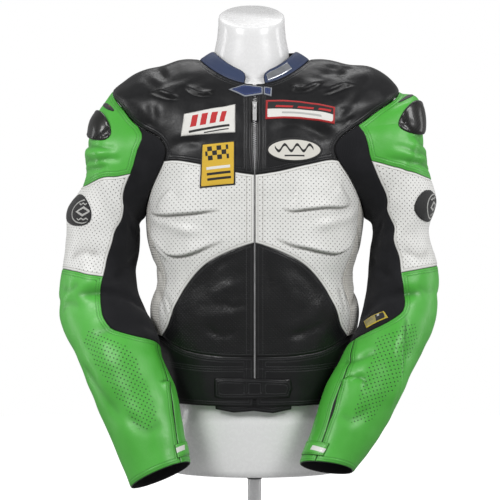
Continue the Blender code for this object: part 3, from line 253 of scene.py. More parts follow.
def rounded(path, count=6):  # the same path with its corners smoothed
    path = [np.asarray(p, float) for p in path]
    if len(path) < 3:
        return path
    knots = np.concatenate([[0], np.cumsum([norm(b - a) for a, b in zip(path, path[1:])])])
    at = np.linspace(0, knots[-1], count * (len(path) - 1) + 1)
    return list(glide(knots, path, at))


def trough(points, path, wide, deep):  # a soft furrow, or a ridge where deep is below zero
    signed, share = nearPath(points, path)
    ends = np.clip(np.minimum(share, 1 - share) * 5, 0, 1)
    uneven = 1 + 0.25 * np.sin(share * 9 + deep * 2000)
    return -deep * uneven * (0.25 + 0.75 * ends) * np.exp(-((signed / wide) ** 2))


def step(points, path, wide, high, reach):  # a fold's edge: raised on its left, with a crease at the foot
    signed, share = nearPath(points, path)
    ends = np.clip(np.minimum(share, 1 - share) * 3.2, 0, 1)
    ends = ends * ends * (3 - 2 * ends)
    rise = 0.5 * (1 + np.tanh(signed / (0.5 * wide))) * np.exp(-np.maximum(signed, 0) / reach)
    crease = 0.35 * np.exp(-(((signed + 0.3 * wide) / (0.7 * wide)) ** 2))
    return high * ends * (rise - crease)


def uneven(points, size, seed):  # a slow wave of about unit height
    made = np.random.default_rng(seed)
    total = np.zeros(len(points))
    for _ in range(7):
        way = made.normal(size=3)
        way /= norm(way)
        total += np.sin(points @ way * 2 * math.pi / (size * made.uniform(0.7, 1.5)) + made.uniform(0, 6.3))
    return total / 3.2


# Swellings of the padded shoulders: place, reach and height, the same on both sides.
shoulderPads = (
    (0.112, 0.000, 0.800, 0.034, 0.004),
    (0.192, 0.000, 0.784, 0.030, 0.004),
    (0.150, -0.070, 0.730, 0.045, 0.003),
)

# Pads, folds and creases in millimetres. A furrow has its path, width and depth, below zero for a ridge.
# A step has its path, width, height and reach, and is raised on the left of its path.
# These are on the body, as (x, z) seen from the front.
bodyFolds = {
    "r": (
        (((-168, 551), (-155, 545), (-120, 545), (-93, 547), (-55, 553)), 3.6, 6.6, 36),
        (((-132, 587), (-143, 576), (-154, 560), (-156, 550)), 6, 2.2, 16),
        (((-177, 530), (-162, 506), (-150, 491), (-140, 481), (-128, 478), (-113, 479), (-93, 485),
          (-73, 494), (-49, 504)), 3.4, 7, 26),
        (((-166, 541), (-144, 531), (-125, 524), (-106, 519), (-84, 518)), 8.5, -2.6),
        (((-167, 498), (-155, 486), (-141, 469)), 4, 3.4, 10),
        (((-162, 462), (-156, 454), (-149, 440)), 5, 4),
        (((-158, 424), (-149, 404), (-143, 380)), 6, 2.6),
        (((-146, 420), (-138, 400), (-132, 376)), 5, 1.6),
        (((-168, 744), (-147, 735), (-135, 732), (-118, 731)), 4.4, 10, 17),
        (((-114, 756), (-105, 744), (-91, 738), (-73, 738), (-64, 750)), 4.4, 7.2, 13),
        (((-158, 728), (-163, 706), (-170, 684)), 7.5, 2.6),
        (((-150, 640), (-129, 654), (-111, 660), (-80, 664)), 10, 3.6),
        (((-160, 788), (-150, 772), (-144, 761)), 6, 4),
        (((-50, 728), (-40, 700), (-30, 668)), 8, 1.8),
        (((-82, 365), (-56, 352), (-30, 356)), 7, 2.6),
        (((-60, 408), (-40, 398), (-14, 400)), 6, 2.4),
        (((-70, 412), (-46, 428), (-18, 432)), 11, -1.9),
        (((-78, 384), (-50, 380), (-22, 388)), 10, -1.6),
        (((-70, 452), (-50, 470), (-28, 476)), 8, 1.8),
    ),
    "l": (
        (((44, 556), (56, 551), (85, 553), (112, 556), (145, 558), (155, 563)), 3.6, 6.4, 36),
        (((155, 563), (144, 579), (133, 594)), 6, 2.2, 16),
        (((34, 508), (45, 502), (59, 496), (85, 490), (112, 484), (133, 483), (146, 490), (155, 502),
          (165, 515), (170, 528)), 3.4, 7, 26),
        (((165, 551), (149, 541), (125, 533), (105, 528), (90, 525)), 8.5, -2.6),
        (((169, 522), (173, 502), (173, 478), (173, 456), (176, 435)), 4.5, 5),
        (((175, 426), (167, 411), (158, 398)), 5.5, 4.6),
        (((164, 462), (168, 450), (174, 441)), 4.5, 2.4),
        (((136, 428), (142, 408), (146, 386)), 5.5, 2.2),
        (((147, 424), (151, 404), (153, 384)), 5, 1.8),
        (((108, 737), (137, 748), (166, 757)), 4.4, 8.5, 17),
        (((61, 760), (64, 745), (81, 745), (97, 751), (116, 763)), 4.4, 7.2, 13),
        (((143, 722), (139, 703), (136, 684)), 7.5, 2.8),
        (((158, 704), (150, 692), (140, 683)), 5, 2.6),
        (((40, 684), (60, 690), (84, 686), (104, 676), (120, 660)), 9.5, 4.2),
        (((158, 788), (147, 779), (135, 768)), 6, 4),
        (((112, 768), (122, 776), (128, 790)), 6, 2.4),
        (((22, 470), (26, 430), (24, 395)), 6, 2),
        (((36, 462), (52, 430), (58, 400)), 13, -1.6),
        (((60, 366), (86, 380), (110, 404)), 10, -1.4),
        (((50, 350), (80, 356), (110, 368)), 7, 2.4),
        (((60, 470), (80, 446), (96, 420)), 8, 1.6),
    ),
}
# Creases of the shoulders, the sides and the back, as degrees from the centre front and height.
turnedFolds = {
    "r": (
        (((70, 772), (52, 752), (40, 731)), 5, 1.8),
        (((104, 735), (122, 738), (140, 722)), 7, 1.8),
        (((76, 410), (96, 432), (116, 428)), 8, 3.4),
        (((74, 452), (92, 462), (108, 455)), 7, 2.4),
        (((118, 480), (140, 500), (160, 497)), 12, 3),
        (((122, 585), (146, 571), (166, 578)), 12, 2.6),
        (((128, 405), (150, 392), (172, 398)), 11, 2.8),
    ),
    "l": (
        (((68, 775), (50, 748), (38, 722)), 5, 2),
        (((102, 728), (124, 742), (142, 730)), 7, 1.8),
        (((74, 402), (94, 424), (114, 436)), 8, 3.4),
        (((78, 446), (94, 470), (108, 463)), 7, 2.4),
        (((120, 512), (142, 489), (164, 505)), 12, 2.8),
        (((126, 560), (148, 592), (168, 586)), 12, 2.4),
        (((126, 388), (148, 402), (170, 385)), 11, 2.8),
    ),
}


def metres(sizes):
    return [size / 1000 for size in sizes]


def foldLift(flat, path, wide, high, reach=None):
    return step(flat, path, wide, high, reach) if reach else trough(flat, path, wide, high)


@lru_cache(maxsize=None)
def bodyFoldPaths(side):  # the folds' paths and sizes, and how far each is repeated where the pattern's ends meet
    lap = 2 * math.pi * cloth["bodyRound"]
    found = [(rounded([frontFlat(*metres(p)) for p in places]), metres(sizes), (0,))
             for places, *sizes in bodyFolds[side]]
    for places, *sizes in turnedFolds[side]:
        path = rounded([bodyFlat(sideSign(side) * turn, z / 1000) for turn, z in places])
        found.append((path, metres(sizes), (-lap, 0, lap)))
    return found


def bodyWays(turn, level, base):
    up = np.where(level < topLevel - 1e-4, 1, -1)
    rising = (bodyBase(turn, level + up * 1e-4) - base) * up[:, None]
    normal = np.cross(bodyBase(turn + 0.1, level) - base, rising)
    return normal / norm(normal, axis=1)[:, None]


def bodySurface(flat):  # places in space of pattern points, and the way out at each
    turn = np.degrees(flat[:, 0] / cloth["bodyRound"])
    level = np.clip(flat[:, 1], 0, topLevel)
    base = bodyBase(turn, level)
    normal = bodyWays(turn, level, base)
    lift = np.zeros(len(flat))
    for side in ("r", "l"):
        sign = sideSign(side)
        for x, y, z, reach, height in shoulderPads:
            lift += height * np.exp(-(norm(base - [sign * x, y, z], axis=1) / reach) ** 2)
        hem = list(armholeFlats(side, range(0, 361, 12)))
        away = np.clip(np.abs(nearPath(flat, hem)[0]) / 0.016, 0, 1)
        for path, sizes, laps in bodyFoldPaths(side):
            for lap in laps:
                lift += away * foldLift(flat, [p + [lap, 0] for p in path], *sizes)
    calm = np.clip((topLevel - level) / 0.03, 0, 1)
    lift += calm * (0.0009 * (1 + uneven(base, 0.085, 3)) + 0.0005 * uneven(base, 0.040, 5))
    return base + normal * lift[:, None], normal, lift


# The shaders paint shade along this line.
def creaseOf(points, path, wide, high, reach=None):  # how deep in a fold's sharp line a point lies, 0 to 1
    signed, share = nearPath(points, path)
    ends = np.clip(np.minimum(share, 1 - share) * 6, 0, 1) ** 0.6
    if reach:
        return ends * min(1, abs(high) / 0.006) * np.exp(-(((signed + 0.30 * wide) / 0.0021) ** 2))
    return ends * min(1, max(0, high) / 0.006) * 0.8 * np.exp(-((signed / (0.45 * wide)) ** 2))


def bodyCreases(flat):
    folds = bodyFoldPaths("r") + bodyFoldPaths("l")
    return np.max([creaseOf(flat, path, *sizes) for path, sizes, _ in folds], axis=0, initial=0)


def armholeFlats(side, angles):
    rows = np.array([(row[0], row[1 if side == "r" else 2], row[3]) for row in armholeRows], float)
    lap = np.concatenate([rows - [360, 0, 0], rows, rows + [360, 0, 0]])
    turn, height = glide(lap[:, 0], lap[:, 1:], np.mod(angles, 360)).T
    turn = turn * sideSign(side)
    return np.stack([np.radians(turn) * cloth["bodyRound"], levelAt(turn, height)], axis=1)


@lru_cache(maxsize=None)
def armholeFlat(side, angle):
    return armholeFlats(side, [angle])[0]


# Folds of the sleeves, as (angle round it, ring), with their sizes in millimetres.
sleeveFolds = {
    "r": (
        (((-60, 2.2), (14, 2.62)), 10, 3),
        (((-30, 2.4), (10, 1.95), (38, 1.7), (52, 1.4), (64, 1), (72, 0.8)), 3.6, 4.8),
        (((-30, 2.85), (18, 2.4), (54, 1.95), (68, 1.45), (80, 0.9), (84, 0.8)), 3.4, 5.2),
        (((-30, 3.1), (10, 2.72), (64, 2), (80, 1.25)), 3.4, 3.8),
        (((-30, 2.62), (14, 2.18), (50, 1.68), (66, 1.22), (76, 0.84)), 8, -5.6),
        (((-30, 2.95), (12, 2.56), (58, 1.98), (74, 1.34)), 6, -3.6),
        (((60, 7.3), (112, 7.5), (170, 7.9)), 14, 6),
        (((60, 9.2), (170, 9)), 12, 3),
        (((20, 9.6), (40, 10.6), (60, 11.6)), 12, 2.8),
        (((136, 11), (148, 10.97), (160, 10.95)), 3.4, 5.5, 10),
        (((24, 6.6), (48, 6.95), (66, 6.8)), 11, 2.6),
        (((20, 7.75), (40, 7.55), (62, 7.9)), 10, 1.8),
        (((40, 5.7), (66, 5.45), (96, 5.62)), 12, 2.6),
        (((70, 11.6), (96, 12.2), (120, 12.1)), 11, 2.4),
        (((-60, 6.9), (-20, 7.2), (20, 7.05)), 11, 4.4),
        (((-150, 7.2), (-110, 6.6), (-60, 6.8)), 12, 5),
        (((-120, 4.2), (-80, 4.6), (-30, 4.4)), 13, 2.8),
        (((134, 2.4), (146, 3.9), (140, 5.6)), 10, 2.8),
        (((160, 5.4), (134, 6.4), (112, 7)), 10, 4),
    ),
    "l": (
        (((-60, 2.1), (24, 2.5)), 10, 3),
        (((-30, 2.6), (10, 2.1), (38, 1.65), (58, 0.9)), 3.4, 3.6),
        (((-30, 2.8), (18, 2.3), (58, 1.55), (68, 1.1), (74, 0.75)), 3.6, 4.6),
        (((-30, 3.05), (10, 2.62), (40, 2.35), (80, 1.05), (88, 0.72)), 3.4, 5),
        (((-30, 2.7), (14, 2.2), (48, 1.62), (64, 0.98)), 6.2, -3.6),
        (((-30, 2.92), (14, 2.46), (50, 1.95), (72, 1.08), (80, 0.8)), 7.8, -5.2),
        (((-60, 0.62), (-20, 0.52), (20, 0.52), (50, 0.62)), 20, -12.5),
        (((60, 7.4), (112, 7.8), (170, 8.3)), 14, 6),
        (((14, 11.1), (30, 10.6), (44, 10.2), (58, 9.75), (70, 9.2), (80, 8.5)), 5, 10, 24),
        (((28, 11.3), (46, 10.74), (60, 10.32), (74, 9.8), (88, 9.1)), 8, -2.6),
        (((114, 10.72), (124, 10.8), (134, 10.92)), 3.4, 6, 10),
        (((88, 11), (102, 10.74), (116, 10.74)), 5, 4),
        (((100, 9.9), (128, 10.25), (160, 10.2)), 8, 3.6),
        (((30, 6.9), (50, 7.25), (72, 7.1)), 11, 1.8),
        (((36, 5.6), (64, 5.85), (92, 5.6)), 12, 2.6),
        (((70, 11.4), (92, 12), (112, 11.9)), 11, 2.4),
        (((-60, 6.7), (-20, 7.1), (20, 6.95)), 11, 4.4),
        (((-150, 7), (-110, 6.5), (-60, 6.9)), 12, 5),
        (((-120, 4.5), (-80, 4.2), (-30, 4.55)), 13, 2.8),
        (((136, 2.2), (150, 3.6), (146, 5.2)), 10, 2.8),
        (((160, 5.6), (136, 6.3), (112, 6.9)), 10, 4),
    ),
}


def middleOf(side, row):  # of a sleeve's ring
    return np.array([sideSign(side) * (row[0] + row[2]) / 2, row[4], (row[1] + row[3]) / 2])


def ringsAt(side, angle):
    sign = sideSign(side)
    rings = [bodySurface(armholeFlats(side, angle))[0]]
    rows = sleeveRings[side]
    middles = [middleOf(side, row) for row in rows]
    turned = np.radians(angle)[:, None]
    for i, row in enumerate(rows):
        outward = np.array([sign * row[0], row[4], row[1]]) - middles[i]
        forward = np.cross(outward, middles[min(i + 1, len(rows) - 1)] - middles[max(i - 1, 0)]) * -sign
        forward *= row[5] / 2 / norm(forward)
        rings.append(middles[i] + np.cos(turned) * outward + np.sin(turned) * forward)
    return np.array(rings)


sleeveRulers = ((1, 5, 0.078), (8, 12, 0.060))  # rings between which the upper arm and the forearm run, radius


class Sleeve:
    def __init__(self, side):
        self.side = side
        laps = ringsAt(side, np.arange(0.0, 360.0, 15.0))
        gaps = norm(np.diff(laps, axis=0), axis=2).mean(axis=1)
        self.along = np.concatenate([[0], np.cumsum(gaps)])
        self.long = self.along[-1]
        lap = ringsAt(side, np.arange(720) * 0.5)
        self.table = np.concatenate([lap, lap, lap[:, :1]], axis=1)
        self.upper, self.fore = (self.ruler(*sizes) for sizes in sleeveRulers)
        self.folds = [(rounded([self.flat(*p) for p in places]), metres(sizes))
                      for places, *sizes in sleeveFolds[side]]

    def flat(self, angle, ring):
        along = np.interp(ring, range(len(self.along)), self.along)
        return np.array([math.radians(angle) * cloth["sleeveRound"], along])

    def base(self, flat):
        angle = np.clip(np.degrees(flat[:, 0] / cloth["sleeveRound"]), -359.9, 359.9)
        at = (angle + 360) * 2
        low = np.floor(at).astype(int)
        t = (at - low)[None, :, None]
        rings = self.table[:, low] * (1 - t) + self.table[:, low + 1] * t
        return glide(self.along, rings, np.clip(flat[:, 1], 0, self.long))

    def axis(self, low, high):  # the middle line between two rings
        start, end = (middleOf(self.side, sleeveRings[self.side][i]) for i in (low, high))
        return start, (end - start) / norm(end - start)

    def ruler(self, low, high, radius):  # lengths round the sleeve and along it
        start, way = self.axis(low, high)

        def measure(points):
            off = points - start
            down = off @ way
            off = off - np.outer(down, way)
            side = np.cross(way, [0, 1.0, 0])
            side /= norm(side)
            ahead = np.cross(way, side)
            angle = np.arctan2(off @ side, off @ ahead)
            middle = math.atan2(np.sin(angle).mean(), np.cos(angle).mean())
            angle = np.mod(angle - middle + math.pi, 2 * math.pi) - math.pi
            return np.stack([angle * radius, down], axis=1)

        return measure

    def surface(self, flat):
        base = self.base(flat)
        across = self.base(flat + [2e-3, 0]) - self.base(flat - [2e-3, 0])
        down = np.where(flat[:, 1] < self.long - 1e-3, 1, -1)
        falling = (self.base(flat + np.outer(down, [0, 1e-3])) - base) * down[:, None]
        normal = np.cross(falling, across) * -sideSign(self.side)
        normal /= norm(normal, axis=1)[:, None]
        lift = np.zeros(len(flat))
        for path, sizes in self.folds:
            for lap in (-2, 0, 2):
                shift = np.array([lap * math.pi * cloth["sleeveRound"], 0])
                lift += foldLift(flat, [p + shift for p in path], *sizes)
        lift += 0.0008 * uneven(base, 0.075, 11) + 0.0004 * uneven(base, 0.035, 13)
        lift *= np.clip(flat[:, 1] / 0.014, 0, 1)
        return base + normal * lift[:, None], normal, lift

    def creases(self, flat):
        return np.max([creaseOf(flat, path, *sizes) for path, sizes in self.folds], axis=0, initial=0)


def curve(points, spacing=None, closed=False, smooth=True):  # evenly spaced points through the given ones
    points = [np.asarray(p, float) for p in points]
    ring = points + [points[0]] if closed else points
    lengths = [norm(b - a) for a, b in zip(ring, ring[1:])]
    knots = np.concatenate([[0], np.cumsum(lengths)])
    values = np.array(ring)
    line = []
    for i, length in enumerate(lengths):
        count = max(1, round(length / (spacing or cloth["edgeStep"])))
        shares = np.arange(count) / count
        if smooth:
            line.extend(glide(knots, values, knots[i] + length * shares))
        else:
            line.extend(ring[i] + (ring[i + 1] - ring[i]) * share for share in shares)
    return line if closed else line + [ring[-1]]


def straight(points, spacing=None, closed=False):
    return curve(points, spacing, closed, smooth=False)


def inside(points, outline):
    found = np.zeros(len(points), bool)
    outline = np.asarray(outline)
    for (x1, y1), (x2, y2) in zip(outline, np.roll(outline, -1, axis=0)):
        crosses = (y1 > points[:, 1]) != (y2 > points[:, 1])
        with np.errstate(divide="ignore", invalid="ignore"):
            at = x1 + (points[:, 1] - y1) * (x2 - x1) / (y2 - y1)
        found ^= crosses & (points[:, 0] < at)
    return found


class Pattern:
    # seams, outlines of what lies on the cloth and loose points, joined into triangles
    def __init__(self, surface, table, around, flipped=False):
        self.surface = surface
        self.table = table
        self.round = around
        self.flipped = flipped
        self.lines = []
        self.outlines = {}
        self.loose = []
        self.creases = lambda flat: np.zeros(len(flat))

    def seam(self, line, closed=False, snap=True):
        self.lines.append([list(line), closed, "seam", snap])

    def stitch(self, line):  # a seam inside a panel
        self.lines.append([list(line), False, "inner", False])

    def overlay(self, name, line):
        self.outlines[name] = list(line)
        self.lines.append([list(line), True, "overlay", False])

    def guide(self, line):
        self.lines.append([list(line), False, "guide", False])

    def joinEnds(self, reach=0.006):
        for n, (line, closed, kind, snap) in enumerate(self.lines):
            if closed or not snap or kind != "seam":
                continue
            for end in (0, -1):
                self.joinEnd(n, line, end, reach)

    def joinEnd(self, n, line, end, reach):
        best = None
        for m, (other, closed, kind, _) in enumerate(self.lines):
            if m == n or kind != "seam":
                continue
            starts = np.array(other)
            ends = np.roll(starts, -1, axis=0)
            if not closed:
                starts, ends = starts[:-1], ends[:-1]
            along = ends - starts
            squares = np.maximum((along**2).sum(axis=1), 1e-18)
            t = np.clip(((line[end] - starts) * along).sum(axis=1) / squares, 0, 1)
            away = norm(line[end] - starts - t[:, None] * along, axis=1)
            i = int(np.argmin(away))
            if best is None or away[i] < best[0]:
                best = (away[i], m, i, t[i], starts[i], ends[i])
        away, m, i, t, a, b = best
        if away > reach:
            return
        length = norm(b - a)
        if t * length < 0.002:
            line[end] = a
        elif (1 - t) * length < 0.002:
            line[end] = b
        else:
            line[end] = a + (b - a) * t
            self.lines[m][0].insert(i + 1, line[end])

    def farFromLines(self, points, clear):
        keep = np.ones(len(points), bool)
        for line, closed, _, _ in self.lines:
            ring = line + [line[0]] if closed else line
            for a, b in zip(ring, ring[1:]):
                keep &= nearStretch(points, a, b)[0] > clear
        return points[keep]

    def row(self, spread, level, count, seam=False):  # right across the pattern, at one level
        line = [np.array([spread * (i / count - 0.5), level]) for i in range(count + 1)]
        self.seam(line) if seam else self.guide(line)

    def sides(self, spread, highest):  # the two ends that meet at the back
        for edge in (-spread / 2, spread / 2):
            rises = np.linspace(0, highest, round(highest / cloth["step"]))
            self.guide([np.array([edge, rise]) for rise in rises])

    def seamRows(self):  # a row of points on each side of every seam
        rows = []
        for line, closed, kind, _ in self.lines:
            if kind not in ("seam", "inner"):
                continue
            ring = line + [line[0]] if closed else line
            for a, b in zip(ring, ring[1:]):
                along = b - a
                across = np.array([-along[1], along[0]]) / (norm(along) + 1e-12)
                rows += [(a + b) / 2 + across * cloth["seamRow"], (a + b) / 2 - across * cloth["seamRow"]]
        self.loose.extend(self.farFromLines(np.array(rows), cloth["seamRow"] * 0.8))

    def scatter(self, points):
        self.loose.extend(self.farFromLines(np.array(points), cloth["step"] * 0.42))

    def weave(self):
        points, edges, kinds = [], [], []
        for line, closed, kind, _ in self.lines:
            first = len(points)
            points.extend(line)
            count = len(line)
            for i in range(count if closed else count - 1):
                edges.append((first + i, first + (i + 1) % count))
                kinds.append(kind)
        points.extend(self.loose)
        flat, outEdges, faces, _, fromEdges, _ = delaunay_2d_cdt(
            [Vector((p[0], p[1])) for p in points], edges, [], 0, 1e-6
        )
        self.flat = np.array([tuple(p) for p in flat])
        faces = np.array([tuple(face) for face in faces if len(face) == 3])
        a, b, c = (self.flat[faces[:, i]] for i in range(3))
        area = (b[:, 0] - a[:, 0]) * (c[:, 1] - a[:, 1]) - (b[:, 1] - a[:, 1]) * (c[:, 0] - a[:, 0])
        self.faces = faces[np.abs(area) > 2e-9]
        self.middles = self.flat[self.faces].mean(axis=1)
        self.cut, self.inner = set(), set()
        for edge, sources in zip(outEdges, fromEdges):
            found = {kinds[source] for source in sources if source < len(kinds)}
            if "seam" in found:
                self.cut.add(tuple(sorted(edge)))
            elif "inner" in found:
                self.inner.add(tuple(sorted(edge)))
        self.byEdge = {}
        for n, face in enumerate(self.faces.tolist()):
            for i in range(3):
                self.byEdge.setdefault(tuple(sorted((face[i], face[(i + 1) % 3]))), []).append(n)

    def faceAt(self, seed):
        a, b, c = (self.flat[self.faces[:, i]] - seed for i in range(3))
        turns = [p[:, 0] * q[:, 1] - p[:, 1] * q[:, 0] for p, q in ((a, b), (b, c), (c, a))]
        hit = np.nonzero(np.all(np.array(turns) >= 0, axis=0) | np.all(np.array(turns) <= 0, axis=0))[0]
        return int(hit[0]) if len(hit) else int(np.argmin(norm(self.middles - seed, axis=1)))

    def panel(self, seeds):  # the triangles reached from the seeds with no seam crossed
        found = set()
        waiting = [self.faceAt(np.asarray(seed)) for seed in seeds]
        while waiting:
            n = waiting.pop()
            if n in found:
                continue
            found.add(n)
            face = self.faces[n].tolist()
            for i in range(3):
                edge = tuple(sorted((face[i], face[(i + 1) % 3])))
                if edge not in self.cut:
                    waiting.extend(m for m in self.byEdge[edge] if m not in found)
        return sorted(found)

    def under(self, outline):
        return np.nonzero(inside(self.middles, outline))[0].tolist()


class Ruler:
    # true lengths across and along a pattern, so that holes, grain and stitches keep their size
    def __init__(self, place, across, along, middle):
        self.across, self.along = across, along
        gridX, gridY = np.meshgrid(across, along, indexing="ij")
        grid = place(np.stack([gridX.ravel(), gridY.ravel()], axis=1)).reshape(len(across), len(along), 3)
        self.u = np.zeros(gridX.shape)
        self.u[1:] = np.cumsum(norm(np.diff(grid, axis=0), axis=2), axis=0)
        self.u -= self.u[int(np.argmin(np.abs(across - middle)))]
        self.v = np.zeros(gridX.shape)
        self.v[:, 1:] = np.cumsum(norm(np.diff(grid, axis=1), axis=2), axis=1)

    def __call__(self, flat):
        x = np.clip((flat[:, 0] - self.across[0]) / (self.across[1] - self.across[0]), 0, len(self.across) - 1.001)
        y = np.clip((flat[:, 1] - self.along[0]) / (self.along[1] - self.along[0]), 0, len(self.along) - 1.001)
        i, k = x.astype(int), y.astype(int)
        s, t = x - i, y - k
        found = []
        for table in (self.u, self.v):
            low = table[i, k] * (1 - s) + table[i + 1, k] * s
            high = table[i, k + 1] * (1 - s) + table[i + 1, k + 1] * s
            found.append(low * (1 - t) + high * t)
        return np.stack(found, axis=1)


def refine(flat, faces, seams, count):  # each triangle becomes four, count times over
    for _ in range(count):
        size = len(flat)
        edges = np.sort(sidesOf(faces), axis=1)
        keys, first, back = np.unique(edges[:, 0] * size + edges[:, 1], return_index=True, return_inverse=True)
        middles = flat[edges[first]].mean(axis=1)
        ab, bc, ca = back.reshape(3, -1) + size
        a, b, c = faces.T
        if len(seams):
            low = np.sort(seams, axis=1)
            half = np.searchsorted(keys, low[:, 0] * size + low[:, 1]) + size
            seams = np.concatenate([np.stack([seams[:, 0], half], 1), np.stack([half, seams[:, 1]], 1)])
        flat = np.concatenate([flat, middles])
        corners = ((a, ab, ca), (ab, b, bc), (ca, bc, c), (ab, bc, ca))
        faces = np.concatenate([np.stack(corner, axis=1) for corner in corners])
    return flat, faces, seams


sameWithin = 2e-5  # metres between points that become one


def sidesOf(faces):
    return np.concatenate([faces[:, [0, 1]], faces[:, [1, 2]], faces[:, [2, 0]]])


def welded(space, faces):  # points at one place become one: the first of each, its number for all, the faces left
    grid = np.rint(space / sameWithin).astype(np.int64)
    _, first, index = np.unique(grid, axis=0, return_index=True, return_inverse=True)
    index = index.reshape(-1)
    joined = index[faces]
    whole = np.all(joined != np.roll(joined, 1, axis=1), axis=1)
    joined = joined[whole]
    edges, count = sidesOf(joined), len(first)
    lone = edges[~np.isin(edges[:, 0] * count + edges[:, 1], edges[:, 1] * count + edges[:, 0])]
    return first, index, faces[whole], joined, lone


def railsOf(edges):  # chains of points from loose edges: (points, whether it closes)
    following = {}
    for a, b in edges:
        following.setdefault(a, []).append(b)
        following.setdefault(b, []).append(a)
    left = {tuple(sorted(edge)) for edge in edges}
    rails = []
    starts = sorted(i for i, near in following.items() if len(near) != 2) + sorted(following)
    for start in starts:
        for near in following[start]:
            if tuple(sorted((start, near))) not in left:
                continue
            chain, last, here = [start], start, near
            left.discard(tuple(sorted((start, near))))
            while here != start:
                chain.append(here)
                onward = [i for i in following[here] if tuple(sorted((here, i))) in left]
                if len(following[here]) != 2 or not onward:
                    break
                last, here = here, onward[0]
                left.discard(tuple(sorted((last, here))))
            rails.append((chain, here == start))
    return rails


def railDistance(points, rails):  # distance from the nearest rail, and how far along it that is
    where, before, after, arcs = [], [], [], []
    for chain, closed in rails:
        line = points[chain]
        ahead = np.roll(line, -1, axis=0)
        behind = np.roll(line, 1, axis=0)
        if not closed:
            ahead[-1], behind[0] = line[-1], line[0]
        gaps = norm(ahead - line, axis=1)
        where.append(line)
        before.append(behind)
        after.append(ahead)
        arcs.append(np.concatenate([[0], np.cumsum(gaps)[:-1]]))
    where, before, after, arcs = (np.concatenate(part) for part in (where, before, after, arcs))
    tree = kdtree.KDTree(len(where))
    for i, place in enumerate(where):
        tree.insert(place, i)
    tree.balance()
    near = np.array([tree.find(p)[1] for p in points])
    best, along = np.full(len(points), 9.0), np.zeros(len(points))
    for other, way in ((before[near], -1), (after[near], 1)):
        reach = other - where[near]
        t = np.clip(((points - where[near]) * reach).sum(1) / np.maximum((reach**2).sum(1), 1e-16), 0, 1)
        away = norm(points - where[near] - t[:, None] * reach, axis=1)
        closer = away < best
        best = np.where(closer, away, best)
        along = np.where(closer, arcs[near] + way * t * norm(reach, axis=1), along)
    return best, along


made = {}       # the pieces by name, and what each was cut to
cuts = {}


def addMesh(name, points, faces, *materials):
    mesh = bpy.data.meshes.new(name)
    mesh.from_pydata(points, [], faces)
    for material in materials:
        mesh.materials.append(material)
    mesh.polygons.foreach_set("use_smooth", np.ones(len(faces), bool))
    mesh.update()
    made[name] = show(name, mesh)
    return made[name]


def flatSize(uv):  # the smallest box round a flat shape
    best = None
    for turn in np.radians(np.arange(0, 90, 3)):
        x = uv @ [math.cos(turn), math.sin(turn)]
        y = uv @ [-math.sin(turn), math.cos(turn)]
        size = (np.ptp(x), np.ptp(y))
        if best is None or size[0] * size[1] < best[0] * best[1]:
            best = size
    return max(best), min(best)


